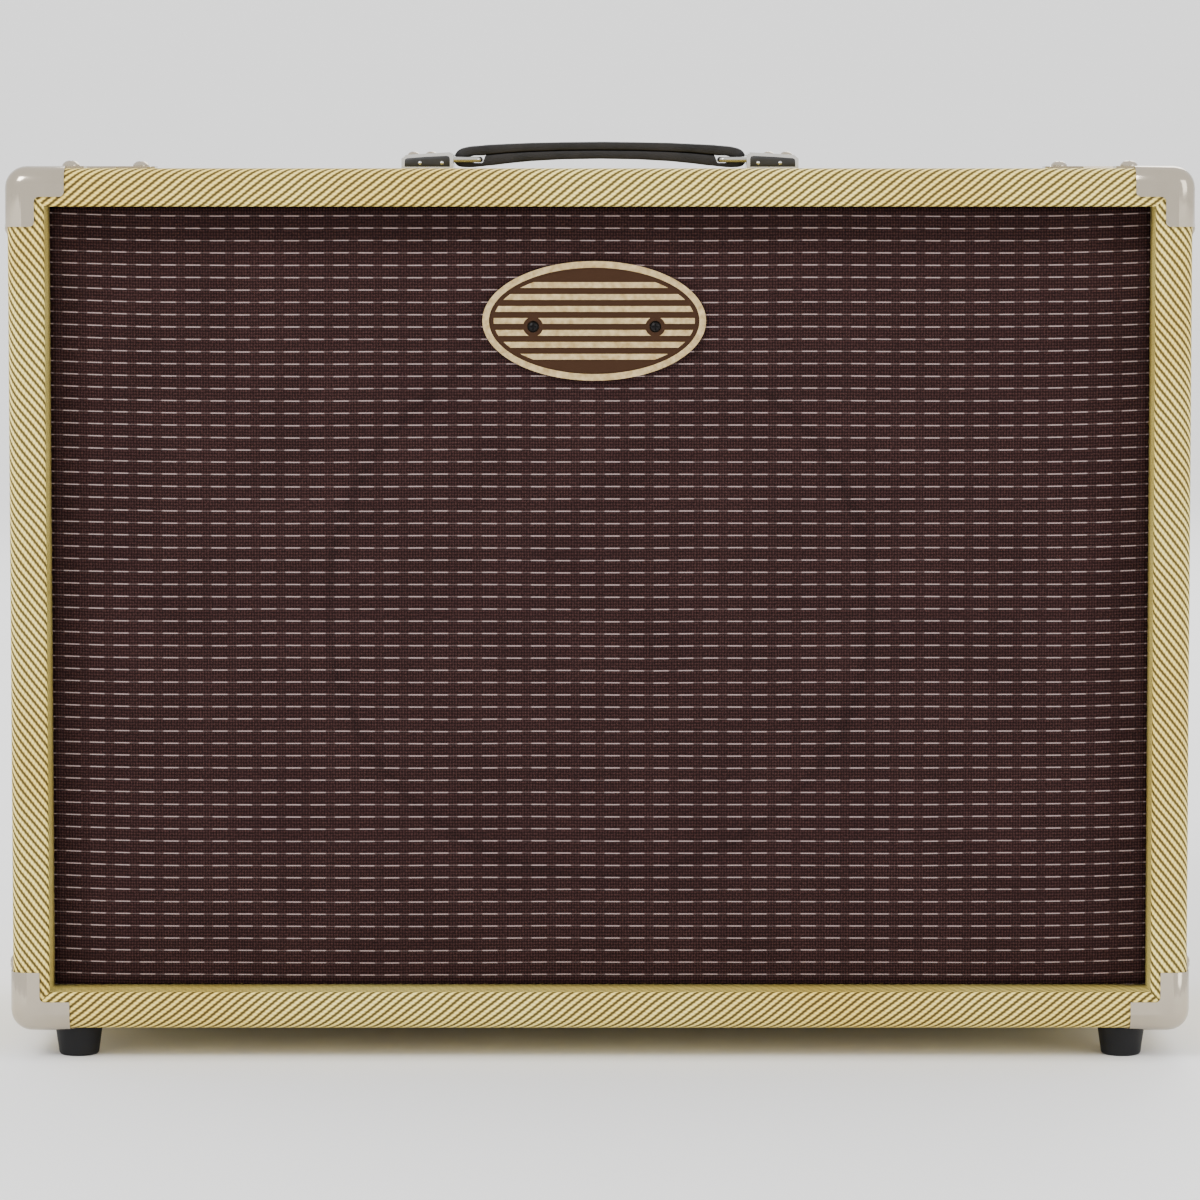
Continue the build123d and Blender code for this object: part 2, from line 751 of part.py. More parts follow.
knob_base = panel_face + 1.0
knob_skirt = 6.0
knob_radius = 11.0
knob_hollow = 8.4
knob_top = panel_face + 17.0
pointer_angle = radians(knob_rest_angle)
pointer_tip = 13.5
pointer_tail = 6.5
for name, x in knob_places.items():
    with BuildPart() as knob:
        with BuildSketch(upright(knob_base)):
            with Locations((x, control_height)):
                Circle(knob_radius)
        extrude(amount=-knob_skirt, taper=6)
        with BuildSketch(upright(knob_base)):
            with Locations((x, control_height)):
                Circle(knob_hollow)
        extrude(amount=-(bushing_end - knob_base + 0.6), mode=Mode.SUBTRACT)
        with BuildSketch(upright(knob_base + knob_skirt)):
            with BuildLine():
                for reach, end_radius in ((pointer_tip, 1.4), (0.0, 6.8), (-pointer_tail, 2.6)):
                    middle = (x + reach * sin(pointer_angle), control_height + reach * cos(pointer_angle))
                    CenterArc(middle, end_radius, 0, 360)
            make_hull()
        extrude(amount=-(knob_top - knob_base - knob_skirt))
        fillet(knob.faces().sort_by(Axis.Y)[-1].edges(), 1.0)
        with BuildSketch(upright(knob_base + knob_skirt)):
            with Locations((x, control_height)):
                Circle(shaft_radius)
        extrude(amount=knob_base + knob_skirt - wall_inside + pot_depth - 3.0)
    save(knob, f"{name}_knob")

toggle_pivot = panel_face - 1.0
toggle_mouth = panel_face + 6.0
toggle_throat = 4.3
toggle_body = (13.0, 24.0)
with BuildPart() as toggle_switch_bodies:
    with BuildSketch(upright(wall_inside)):
        with Locations(*switch_holes):
            Rectangle(*toggle_body)
    extrude(amount=18.0)
    with BuildSketch(upright(toggle_mouth)):
        with Locations(*switch_holes):
            Circle(switch_bushing)
    extrude(amount=toggle_mouth - wall_inside)
    with BuildSketch(upright(toggle_mouth)):
        with Locations(*switch_holes):
            Circle(toggle_throat)
    extrude(amount=toggle_mouth - toggle_pivot + 4.0, mode=Mode.SUBTRACT)
save(toggle_switch_bodies, "toggle_switch_bodies")

lever_length = 17.5
lever_direction = (0, cos(radians(toggle_tilt)), -sin(radians(toggle_tilt)))
for name, x in switch_places.items():
    with BuildPart() as lever:
        with Locations(Plane((x, toggle_pivot, control_height), z_dir=lever_direction)):
            Sphere(3.0)
            Cone(1.5, 2.5, lever_length, align=(Align.CENTER, Align.CENTER, Align.MIN))
            with Locations((0, 0, lever_length)):
                Sphere(2.5)
    save(lever, f"{name}_switch_lever")

jack_bore = 3.2
jack_end = panel_face + 5.5
jack_depth = 32.0
with BuildPart() as jack_sockets:
    with BuildSketch(upright(wall_inside)):
        with Locations((input_jack_x, control_height), (speaker_jack_x, control_height)):
            Rectangle(16.0, 16.0)
    extrude(amount=26.0)
    with BuildSketch(upright(jack_end)):
        with Locations((input_jack_x, control_height), (speaker_jack_x, control_height)):
            Circle(pot_bushing)
    extrude(amount=jack_end - wall_inside)
    with BuildSketch(upright(jack_end)):
        with Locations((input_jack_x, control_height), (speaker_jack_x, control_height)):
            Circle(jack_bore)
    extrude(amount=jack_depth, mode=Mode.SUBTRACT)
save(jack_sockets, "jack_sockets")

with BuildPart() as fuse_holder:
    with BuildSketch(upright(panel_face)):
        with Locations((fuse_x, control_height)):
            Circle(fuse_body)
    extrude(amount=34.0)
    with BuildSketch(upright(panel_face + 2.0)):
        with Locations((fuse_x, control_height)):
            Circle(8.2)
    extrude(amount=2.0)
    with BuildSketch(upright(panel_face + 2.0)):
        with Locations((fuse_x, control_height)):
            Circle(7.0)
    extrude(amount=-6.5, taper=3)
    fillet(fuse_holder.edges().sort_by(Axis.Y)[-1], 0.8)
    with BuildSketch(upright(panel_face + 9.0)):
        with Locations((fuse_x, control_height)):
            Rectangle(8.5, 1.4)
    extrude(amount=1.8, mode=Mode.SUBTRACT)
save(fuse_holder, "fuse_holder")

inlet_flange = 2.6
inlet_cavity = (24.4, 16.6)
inlet_cavity_depth = 18.0
with BuildPart() as mains_inlet:
    with BuildSketch(upright(panel_face + inlet_flange)):
        with Locations((inlet_x, control_height)):
            RectangleRounded(49.0, 27.0, 6.0)
    extrude(amount=inlet_flange)
    with BuildSketch(upright(panel_face)):
        with Locations((inlet_x, control_height)):
            RectangleRounded(*inlet_body, 2.0)
    extrude(amount=28.0)
    with BuildSketch(upright(panel_face + inlet_flange)):
        with Locations((inlet_x, control_height)):
            Rectangle(*inlet_cavity)
            with Locations((0, inlet_cavity[1] / 2)):
                with GridLocations(inlet_cavity[0], 0.001, 2, 1):
                    Rectangle(10.0, 10.0, rotation=45, mode=Mode.SUBTRACT)
    extrude(amount=inlet_cavity_depth, mode=Mode.SUBTRACT)
    with BuildSketch(upright(panel_face + inlet_flange)):
        with Locations(*[(place.origin.X, control_height) for place in inlet_screw_places]):
            Circle(rear_screw_shank + hole_clearance)
    extrude(amount=inlet_flange, mode=Mode.SUBTRACT)
save(mains_inlet, "mains_inlet")

pin_root = panel_face + inlet_flange - inlet_cavity_depth
with BuildPart() as inlet_pins:
    with BuildSketch(upright(pin_root)):
        with Locations(
            (inlet_x - 7.0, control_height - 2.0),
            (inlet_x + 7.0, control_height - 2.0),
            (inlet_x, control_height + 2.0),
        ):
            Rectangle(2.0, 4.0)
    extrude(amount=-14.5)
save(inlet_pins, "inlet_pins")

with BuildPart() as pilot_lamp_holder:
    with BuildSketch(upright(panel_face)):
        with Locations((lamp_x, control_height)):
            Circle(lamp_body)
    extrude(amount=24.0)
    with BuildSketch(upright(panel_face + 3.0)):
        with Locations((lamp_x, control_height)):
            Circle(10.2)
    extrude(amount=3.0)
    fillet(pilot_lamp_holder.edges().sort_by(Axis.Y)[-1], 1.2)
save(pilot_lamp_holder, "pilot_lamp_holder")

with BuildPart() as pilot_lamp_jewel:
    with BuildSketch(upright(panel_face + 3.0)):
        with Locations((lamp_x, control_height)):
            RegularPolygon(8.0, 10)
    extrude(amount=-3.5, taper=12)
    with BuildSketch(upright(panel_face + 6.5)):
        with Locations((lamp_x, control_height)):
            RegularPolygon(7.26, 10)
    extrude(amount=-3.2, taper=48)
save(pilot_lamp_jewel, "pilot_lamp_jewel")

# ---- Inside and under the chassis ------------------------------------------------------------


def transformer(x, y, width, depth, height):
    """A laminated core with the winding through it and four mounting feet, hung under the chassis."""
    core_top = chassis_floor
    winding = 0.55
    with BuildPart() as iron:
        with BuildSketch(Plane.XY.offset(core_top - height)):
            with Locations((x, y)):
                Rectangle(width, depth * winding)
        extrude(amount=height)
        with BuildSketch(Plane.XY.offset(core_top - height * 0.84)):
            with Locations((x, y)):
                RectangleRounded(width * 0.62, depth, 5.0)
        extrude(amount=height * 0.68)
        with BuildSketch(Plane.XY.offset(core_top - 1.6)):
            with Locations((x, y)):
                RectangleRounded(width + 16.0, depth * winding, 4.0)
        extrude(amount=1.6)
    return iron


power_iron = transformer(192.0, 66.0, 84.0, 74.0, 62.0)
save(power_iron, "power_transformer")
output_iron = transformer(-188.0, 66.0, 66.0, 58.0, 50.0)
save(output_iron, "output_transformer")

board_level = chassis_floor + 22.0
with BuildPart() as circuit_board:
    with BuildSketch(Plane.XY.offset(board_level)):
        with Locations((20.0, 53.0)):
            Rectangle(300.0, 46.0)
    extrude(amount=2.4)
    with BuildSketch(Plane.XY.offset(chassis_floor + chassis_sheet)):
        with Locations((20.0, 53.0)):
            with GridLocations(284.0, 34.0, 2, 2):
                Circle(2.6)
    extrude(amount=board_level - chassis_floor - chassis_sheet)
save(circuit_board, "circuit_board")

capacitor_radius = 8.0
with BuildPart() as filter_capacitors:
    with Locations(
        *[
            Plane((x, 44.0, board_level + 2.4 + capacitor_radius + 0.05), z_dir=(1, 0, 0))
            for x in (-100.0, -52.0, -4.0, 44.0)
        ]
    ):
        Cylinder(capacitor_radius, 38.0)
save(filter_capacitors, "filter_capacitors")

socket_drop = 8.0
with BuildPart() as valve_sockets:
    for places, hole_radius in ((preamp_places, small_socket), (power_places, large_socket)):
        with BuildSketch(Plane.XY.offset(chassis_floor - socket_drop)):
            with Locations(*places):
                Circle(hole_radius + 3.0)
        extrude(amount=socket_drop)
        with BuildSketch(Plane.XY.offset(chassis_floor)):
            with Locations(*places):
                Circle(hole_radius - loose)
        extrude(amount=6.0)
save(valve_sockets, "valve_sockets")


def glass_valve(x, y, radius, length):
    """A valve's glass envelope, hung by its base: a tube with a shoulder, a dome and a sealed tip."""
    top = chassis_floor - socket_drop
    with BuildPart() as envelope:
        with BuildSketch(Plane.XZ.offset(-y)):
            with BuildLine():
                Polyline(
                    (x, top - length),
                    (x, top),
                    (x + radius, top),
                    (x + radius, top - length + radius + 4.0),
                )
                ThreePointArc(
                    (x + radius, top - length + radius + 4.0),
                    (x + radius * 0.74, top - length + 0.36 * radius + 4.0),
                    (x + 2.0, top - length + 4.2),
                )
                Polyline((x + 2.0, top - length + 4.2), (x + 1.1, top - length + 1.2), (x, top - length))
            make_face()
        revolve(axis=Axis((x, y, 0), (0, 0, 1)))
    return envelope.part


with BuildPart() as valves:
    for x, y in preamp_places:
        add(glass_valve(x, y, 10.0, 46.0))
    for x, y in power_places:
        add(glass_valve(x, y, 11.0, 66.0))
save(valves, "valves")

# ---- Speaker ---------------------------------------------------------------------------------

basket_floor = flange_front + 84.0
ledge = basket_floor - 15.0
rim_back = flange_front + 8.0
front_plate = (basket_floor, basket_floor + 8.0)
ring_back = front_plate[1] + 22.0
back_plate = (ring_back, ring_back + 8.0)
ledge_radius = 84.0
cup_radius = 72.0
window_count = 8
spoke_width = 22.0
window_outer = 123.0
window_inner = 88.0

with BuildPart() as whole_basket:
    with BuildSketch(radius_plane):
        with BuildLine():
            Polyline(
                (flange_radius, flange_front),
                (flange_inner, flange_front),
                (flange_inner - 3.0, rim_back),
                (ledge_radius, ledge - basket_sheet),
                (cup_radius, ledge - basket_sheet),
                (cup_radius, basket_floor - basket_sheet),
                (28.6, basket_floor - basket_sheet),
                (28.6, basket_floor),
                (cup_radius + basket_sheet, basket_floor),
                (cup_radius + basket_sheet, ledge),
                (ledge_radius + 1.0, ledge),
                (flange_inner - 2.0 + basket_sheet, rim_back + 0.6),
                (flange_inner + basket_sheet, flange_front + basket_sheet),
                (flange_radius, flange_front + basket_sheet),
                close=True,
            )
        make_face()
    revolve(axis=speaker_axis)
    with BuildSketch(upright(ledge + 5.0)):
        with Locations((0, speaker_height)):
            Circle(window_outer)
            Circle(window_inner, mode=Mode.SUBTRACT)
            with PolarLocations(0, window_count):
                with Locations((window_outer / 2, 0)):
                    Rectangle(window_outer + 4.0, spoke_width, mode=Mode.SUBTRACT)
    extrude(amount=ledge + 5.0 - rim_back - 1.0, mode=Mode.SUBTRACT)
    with BuildSketch(upright(flange_front + basket_sheet)):
        with Locations(*bolt_places):
            Circle(bolt_radius + hole_clearance)
    extrude(amount=basket_sheet, mode=Mode.SUBTRACT)

# The cup that carries the magnet is welded to the ends of the eight arms.
with BuildPart() as cup_region:
    with BuildSketch(upright(basket_floor)):
        with Locations((0, speaker_height)):
            Circle(window_inner)
    extrude(amount=basket_floor - flange_front)

with BuildPart() as speaker_basket:
    add(whole_basket.part)
    add(cup_region.part, mode=Mode.SUBTRACT)
save(speaker_basket, "speaker_basket")

with BuildPart() as basket_cup:
    add(whole_basket.part)
    add(cup_region.part, mode=Mode.INTERSECT)
save(basket_cup, "basket_cup")

gasket_inner = 143.2
with BuildPart() as speaker_gasket:
    with BuildSketch(upright(flange_front)):
        with Locations((0, speaker_height)):
            Circle(flange_radius)
            Circle(gasket_inner, mode=Mode.SUBTRACT)
        with Locations(*bolt_places):
            Circle(bolt_radius + hole_clearance, mode=Mode.SUBTRACT)
    extrude(amount=gasket_thickness)
save(speaker_gasket, "speaker_gasket")

nut_back = flange_front + basket_sheet + 4.0
with BuildPart() as speaker_bolts:
    with BuildSketch(upright(baffle_front + bolt_head_height)):
        with Locations(*bolt_places):
            Circle(bolt_head_radius)
    extrude(amount=bolt_head_height)
    with BuildSketch(upright(nut_back + 4.0)):
        with Locations(*bolt_places):
            Circle(bolt_radius)
    extrude(amount=nut_back + 4.0 - baffle_front)
    with BuildSketch(upright(nut_back)):
        with Locations(*bolt_places):
            RegularPolygon(5.0, 6)
    extrude(amount=4.0)
save(speaker_bolts, "speaker_bolts")

pole_radius = 24.6
gap_radius = 27.6
with BuildPart() as magnet_yoke:
    with BuildSketch(radius_plane):
        with BuildLine():
            Polyline(
                (8.0, front_plate[0]),
                (pole_radius, front_plate[0]),
                (pole_radius, back_plate[0]),
                (70.0, back_plate[0]),
                (70.0, back_plate[1]),
                (8.0, back_plate[1]),
                close=True,
            )
        make_face()
        with BuildLine():
            Polyline(
                (gap_radius, front_plate[0]),
                (70.0, front_plate[0]),
                (70.0, front_plate[1]),
                (gap_radius, front_plate[1]),
                close=True,
            )
        make_face()
    revolve(axis=speaker_axis)
    fillet(magnet_yoke.faces().sort_by(Axis.Y)[-1].edges().sort_by(SortBy.RADIUS)[-1], 2.0)
save(magnet_yoke, "magnet_yoke")

with BuildPart() as magnet_ring:
    with BuildSketch(upright(ring_back)):
        with Locations((0, speaker_height)):
            Circle(78.0)
            Circle(34.0, mode=Mode.SUBTRACT)
    extrude(amount=ring_back - front_plate[1])
    fillet(magnet_ring.edges().filter_by(GeomType.CIRCLE).sort_by(SortBy.RADIUS)[-2:], 1.5)
save(magnet_ring, "magnet_ring")

coil_front = flange_front + 51.0
coil_back = front_plate[1] - 1.0
cone_front = flange_front + 1.5
neck = coil_radius + coil_wall
with BuildPart() as speaker_cone:
    with BuildSketch(radius_plane):
        with BuildLine():
            ThreePointArc((neck, coil_front), (67.0, flange_front + 33.0), (cone_radius, cone_front))
            Line((cone_radius, cone_front), (cone_radius, cone_front + cone_paper))
            ThreePointArc(
                (cone_radius, cone_front + cone_paper),
                (67.0, flange_front + 33.0 + cone_paper),
                (neck, coil_front + cone_paper),
            )
            Line((neck, coil_front + cone_paper), (neck, coil_front))
        make_face()
    revolve(axis=speaker_axis)
save(speaker_cone, "speaker_cone")

with BuildPart() as voice_coil:
    with BuildSketch(upright(coil_back)):
        with Locations((0, speaker_height)):
            Circle(coil_radius + coil_wall)
            Circle(coil_radius, mode=Mode.SUBTRACT)
    extrude(amount=coil_back - coil_front - cone_paper - 0.2)
save(voice_coil, "voice_coil")

dome_radius = 24.9
dome_rise = 9.0
dome_paper = 0.9
dome_sphere = (dome_radius**2 + dome_rise**2) / (2 * dome_rise)
with BuildPart() as dust_cap:
    with Locations((0, coil_front - dome_rise + dome_sphere, speaker_height)):
        Sphere(dome_sphere)
        Sphere(dome_sphere - dome_paper, mode=Mode.SUBTRACT)
    split(bisect_by=upright(coil_front), keep=Keep.TOP)
save(dust_cap, "dust_cap")

surround_inner = cone_radius + 0.4
surround_middle = (surround_inner + flange_inner) / 2
surround_sheet = 0.8
surround_face = flange_front - surround_sheet
surround_crest = flange_front - 5.6
with BuildPart() as speaker_surround:
    with BuildSketch(radius_plane):
        with BuildLine():
            ThreePointArc(
                (surround_inner, surround_face),
                (surround_middle, surround_crest),
                (flange_inner, surround_face),
            )
            Polyline(
                (flange_inner, surround_face),
                (gasket_inner - loose, surround_face),
                (gasket_inner - loose, flange_front),
                (flange_inner - 0.6, flange_front),
            )
            ThreePointArc(
                (flange_inner - 0.6, flange_front),
                (surround_middle, surround_crest + surround_sheet),
                (surround_inner, flange_front),
            )
            Line((surround_inner, flange_front), (surround_inner, surround_face))
        make_face()
    revolve(axis=speaker_axis)
save(speaker_surround, "speaker_surround")

with BuildPart() as speaker_spider:
    with BuildSketch(upright(ledge - basket_sheet)):
        with Locations((0, speaker_height)):
            Circle(ledge_radius - 2.0)
            Circle(neck + 0.4, mode=Mode.SUBTRACT)
    extrude(amount=0.6)
save(speaker_spider, "speaker_spider")

terminal_angle = radians(135)
terminal_radius = cup_radius + basket_sheet + 9.5
terminal_x = terminal_radius * cos(terminal_angle)
terminal_z = speaker_height + terminal_radius * sin(terminal_angle)
with BuildPart() as speaker_terminals:
    with BuildSketch(upright(ledge + 9.0)):
        with Locations(Location((terminal_x, terminal_z, 0), (0, 0, 45))):
            Rectangle(20.0, 9.0)
    extrude(amount=9.0)
save(speaker_terminals, "speaker_terminals")

# The internal speaker lead leaves the chassis through its grommet and ends on the terminal block.
lead_radius = 2.6
lead_route = [
    (lead_exit[0], lead_exit[1], chassis_floor + 6.0),
    (lead_exit[0], lead_exit[1], chassis_floor - 22.0),
    (-104.0, 46.0, chassis_floor - 50.0),
    (-84.0, 24.0, chassis_floor - 66.0),
    (terminal_x, 10.0, terminal_z),
    (terminal_x, ledge + 9.0, terminal_z),
]


def route_radii(points):
    """Each corner's radius: 0.45 of the shorter run over the tangent of half the turn."""
    radii = []
    for before, corner, after in zip(points, points[1:], points[2:]):
        first = Vector(*corner) - Vector(*before)
        second = Vector(*after) - Vector(*corner)
        half_turn = radians(first.get_angle(second)) / 2
        radii.append(0.45 * min(first.length, second.length) * cos(half_turn) / sin(half_turn))
    return radii


lead_radii = route_radii(lead_route)
with BuildPart() as speaker_lead:
    with BuildLine():
        lead_path = FilletPolyline(*lead_route, radius=lead_radii)
    with BuildSketch(Plane(lead_route[0], z_dir=(0, 0, -1))):
        Circle(lead_radius)
    sweep()
save(speaker_lead, "speaker_lead")

lead_expected = pi * lead_radius**2 * lead_path.length
print("speaker lead radii", [round(radius, 1) for radius in lead_radii])
print("speaker lead length", round(lead_path.length, 1))
print("speaker lead volume", round(speaker_lead.part.volume), "expected", round(lead_expected))
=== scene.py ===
"""Finishes, cloth, handle leather and small trim for the guitar amplifier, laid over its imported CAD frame.

Everything is in metres in the amplifier's own frame: X to the right seen from the front, the front
faces -Y, Z is up, and the feet stand on Z = 0.
"""

import json

import bmesh
import bpy
import numpy as np
from mathutils import Matrix, Vector


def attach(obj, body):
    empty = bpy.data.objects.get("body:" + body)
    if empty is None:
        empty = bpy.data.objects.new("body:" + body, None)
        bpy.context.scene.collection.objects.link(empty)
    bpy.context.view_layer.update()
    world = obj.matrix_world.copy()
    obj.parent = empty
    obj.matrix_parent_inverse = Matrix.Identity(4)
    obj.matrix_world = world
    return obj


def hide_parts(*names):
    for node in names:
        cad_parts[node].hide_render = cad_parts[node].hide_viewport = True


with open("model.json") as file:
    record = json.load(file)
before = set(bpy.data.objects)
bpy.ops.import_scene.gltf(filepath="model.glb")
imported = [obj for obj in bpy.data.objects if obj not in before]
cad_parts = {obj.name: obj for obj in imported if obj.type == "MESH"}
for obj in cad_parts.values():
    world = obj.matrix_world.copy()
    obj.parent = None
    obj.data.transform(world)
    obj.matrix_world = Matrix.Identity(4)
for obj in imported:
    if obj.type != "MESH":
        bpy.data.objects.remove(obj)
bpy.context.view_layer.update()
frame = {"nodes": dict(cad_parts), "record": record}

# ---- Camera ----------------------------------------------------------------------------------

front_y = -0.1325
eye_distance = 2.5
eye_height = 0.463
eye_pitch = np.radians(3.6)

camera_data = bpy.data.cameras.new("camera")
camera_data.lens = 145.95
camera_data.sensor_width = 36.0
camera_data.shift_y = -0.1047
camera = bpy.data.objects.new("camera", camera_data)
camera.location = (0.0, front_y - eye_distance, eye_height)
camera.rotation_euler = (np.pi / 2 - eye_pitch, 0.0, 0.0)
bpy.context.scene.collection.objects.link(camera)
bpy.context.scene.camera = camera

# ---- Sizes shared with the frame ---------------------------------------------------------------

half_width = 0.305
half_depth = 0.1325
body_bottom = 0.017
body_top = 0.463
body_middle = (body_bottom + body_top) / 2
half_height = (body_top - body_bottom) / 2
side_radius = 0.010
edge_radius = 0.008
cloth_inset = 0.0196
grille_y = -0.1065
batten_y = 0.110
panel_y = 0.112
control_height = 0.4077
speaker_height = 0.235
baffle_hole = 0.1415
knob_places = {"volume": 0.170, "bass": 0.110, "treble": 0.050, "master": -0.010}
valve_places = [
    (-0.060, 0.066, 0.0100, 0.046),
    (-0.015, 0.066, 0.0100, 0.046),
    (0.045, 0.066, 0.0110, 0.066),
    (0.090, 0.066, 0.0110, 0.066),
]
valve_base = 0.3682


def linear(red, green, blue):
    """An 8-bit display colour as the linear colour that shaders work in."""
    share = np.array([red, green, blue]) / 255.0
    low = share / 12.92
    high = ((share + 0.055) / 1.055) ** 2.4
    return (*np.where(share <= 0.04045, low, high), 1.0)


# ---- Building finishes -------------------------------------------------------------------------


noise_roughness = 0.55


class Finish:
    """A material in the making: a Principled shader and short ways to put nodes before it."""

    def __init__(self, name, colour, roughness, metallic=0.0):
        self.material = bpy.data.materials.new(name)
        self.material.use_nodes = True
        self.nodes = self.material.node_tree.nodes
        self.links = self.material.node_tree.links
        self.shader = self.nodes["Principled BSDF"]
        self.shader.inputs["Base Color"].default_value = colour
        self.shader.inputs["Roughness"].default_value = roughness
        self.shader.inputs["Metallic"].default_value = metallic
        self.material.diffuse_color = colour

    def feed(self, socket, value):
        """Links a node's output into a socket, or sets a plain number or colour there."""
        if isinstance(value, bpy.types.NodeSocket):
            self.links.new(value, socket)
        else:
            socket.default_value = value

    def place(self, scale=(1.0, 1.0, 1.0), turn=(0.0, 0.0, 0.0), kind="Object"):
        """The point on the piece, in metres, scaled and turned."""
        where = self.nodes.new("ShaderNodeTexCoord")
        mapping = self.nodes.new("ShaderNodeMapping")
        mapping.inputs["Scale"].default_value = scale
        mapping.inputs["Rotation"].default_value = turn
        self.links.new(where.outputs[kind], mapping.inputs["Vector"])
        return mapping.outputs["Vector"]

    def parts(self, vector):
        """The three coordinates of a vector."""
        split = self.nodes.new("ShaderNodeSeparateXYZ")
        self.links.new(vector, split.inputs[0])
        return split.outputs[0], split.outputs[1], split.outputs[2]

    def join(self, x, y, z):
        """A vector from three coordinates."""
        joined = self.nodes.new("ShaderNodeCombineXYZ")
        for socket, value in zip(joined.inputs, (x, y, z)):
            self.feed(socket, value)
        return joined.outputs[0]

    def sum(self, operation, *values):
        """One arithmetic step, such as ADD or MULTIPLY."""
        step = self.nodes.new("ShaderNodeMath")
        step.operation = operation
        for socket, value in zip(step.inputs, values):
            self.feed(socket, value)
        return step.outputs[0]

    def noise(self, place, scale, detail=3.0):
        """Smooth random values around one half."""
        cloud = self.nodes.new("ShaderNodeTexNoise")
        cloud.inputs["Scale"].default_value = scale
        cloud.inputs["Detail"].default_value = detail
        cloud.inputs["Roughness"].default_value = noise_roughness
        self.links.new(place, cloud.inputs["Vector"])
        return cloud.outputs["Fac"]

    def cells(self, place, scale):
        """Distance to the nearest of scattered points, for grain and pebbling."""
        cell = self.nodes.new("ShaderNodeTexVoronoi")
        cell.feature = "F1"
        cell.inputs["Scale"].default_value = scale
        self.links.new(place, cell.inputs["Vector"])
        return cell.outputs["Distance"]

    def ramp(self, value, *stops):
        """A value turned into a colour that runs through the given (position, colour) stops."""
        bar = self.nodes.new("ShaderNodeValToRGB")
        band = bar.color_ramp
        band.elements[0].position, band.elements[0].color = stops[0]
        band.elements[1].position, band.elements[1].color = stops[-1]
        for position, colour in stops[1:-1]:
            band.elements.new(position).color = colour
        self.links.new(value, bar.inputs[0])
        return bar.outputs[0]

    def rescale(self, value, low, high, new_low, new_high):
        """A value carried from one range to another, and held at its ends."""
        spread = self.nodes.new("ShaderNodeMapRange")
        for socket, number in zip(spread.inputs, (value, low, high, new_low, new_high)):
            self.feed(socket, number)
        return spread.outputs[0]

    def mix(self, share, first, second, blend="MIX"):
        """Two colours mixed by a share from 0 to 1."""
        mixer = self.nodes.new("ShaderNodeMix")
        mixer.data_type = "RGBA"
        mixer.blend_type = blend
        self.feed(mixer.inputs[0], share)
        self.feed(mixer.inputs[6], first)
        self.feed(mixer.inputs[7], second)
        return mixer.outputs[2]

    def matt(self, level):
        """How strongly light glances off the surface; loose fibres return little of it."""
        self.shader.inputs["Specular IOR Level"].default_value = level

    def colour(self, value):
        self.links.new(value, self.shader.inputs["Base Color"])

    def rough(self, value):
        self.links.new(value, self.shader.inputs["Roughness"])

    def bump(self, height, depth, strength=1.0):
        """Relief of the given depth in metres."""
        relief = self.nodes.new("ShaderNodeBump")
        relief.inputs["Strength"].default_value = strength
        relief.inputs["Distance"].default_value = depth
        self.links.new(height, relief.inputs["Height"])
        self.links.new(relief.outputs["Normal"], self.shader.inputs["Normal"])


tweed_pitch = 0.0031
strand_pitch = 0.0021
tweed_slope = np.radians(39.0)
cream = linear(255, 236, 138)
straw = linear(160, 138, 68)
olive = linear(82, 70, 26)


def twill(finish, along, across):
    """Twisted cream cords laid side by side on a slope, with dark thread in the valleys between them.

    The cord number is (across * cos - along * sin) / pitch, and its fraction gives the height across
    the cord as a sine. Along each cord a second, slanted count makes the twist of the strands.
    """
    sway = finish.noise(finish.join(along, across, 0.0), 22.0, 2.0)
    sway = finish.rescale(sway, 0.0, 1.0, -0.35, 0.35)
    count = finish.sum("MULTIPLY", across, np.cos(tweed_slope) / tweed_pitch)
    count = finish.sum("MULTIPLY_ADD", along, -np.sin(tweed_slope) / tweed_pitch, count)
    count = finish.sum("ADD", count, sway)
    phase = finish.sum("FRACT", count)
    cord = finish.sum("SINE", finish.sum("MULTIPLY", phase, np.pi))
    run = finish.sum("MULTIPLY", across, np.sin(tweed_slope) / strand_pitch)
    run = finish.sum("MULTIPLY_ADD", along, np.cos(tweed_slope) / strand_pitch, run)
    run = finish.sum("MULTIPLY_ADD", phase, 0.9, run)
    strand = finish.sum("SINE", finish.sum("MULTIPLY", finish.sum("FRACT", run), np.pi))
    strand = finish.sum("POWER", strand, 0.6)
    return cord, strand


def tweed_finish(name, kind):
    """Lacquered tweed: cream cords, olive valleys, and a light amber unevenness over the whole cloth."""
    finish = Finish(name, straw, 0.62)
    finish.matt(0.25)
    point = finish.place(kind=kind)
    x, y, z = finish.parts(point)
    along, across = (x, y) if kind == "UV" else (x, z)
    cord, strand = twill(finish, along, across)
    fibre = finish.noise(point, 2600.0, 3.0)
    age = finish.noise(point, 9.0, 3.0)
    height = finish.sum("MULTIPLY_ADD", strand, 0.28, cord)
    height = finish.sum("MULTIPLY_ADD", fibre, 0.30, height)
    height = finish.rescale(height, 0.15, 1.4, 0.0, 1.0)
    base = finish.ramp(height, (0.42, olive), (0.68, straw), (0.94, cream))
    amber = finish.mix(1.0, base, linear(238, 222, 180), "MULTIPLY")
    finish.colour(finish.mix(finish.rescale(age, 0.38, 0.66, 0.0, 0.75), base, amber))
    finish.rough(finish.rescale(height, 0.0, 1.0, 0.78, 0.52))
    finish.bump(height, 0.00055)
    return finish.material


row_pitch = 0.0064
dash_pitch = 0.0128
warp_pitch = 0.00145
weft_pitch = 0.0016


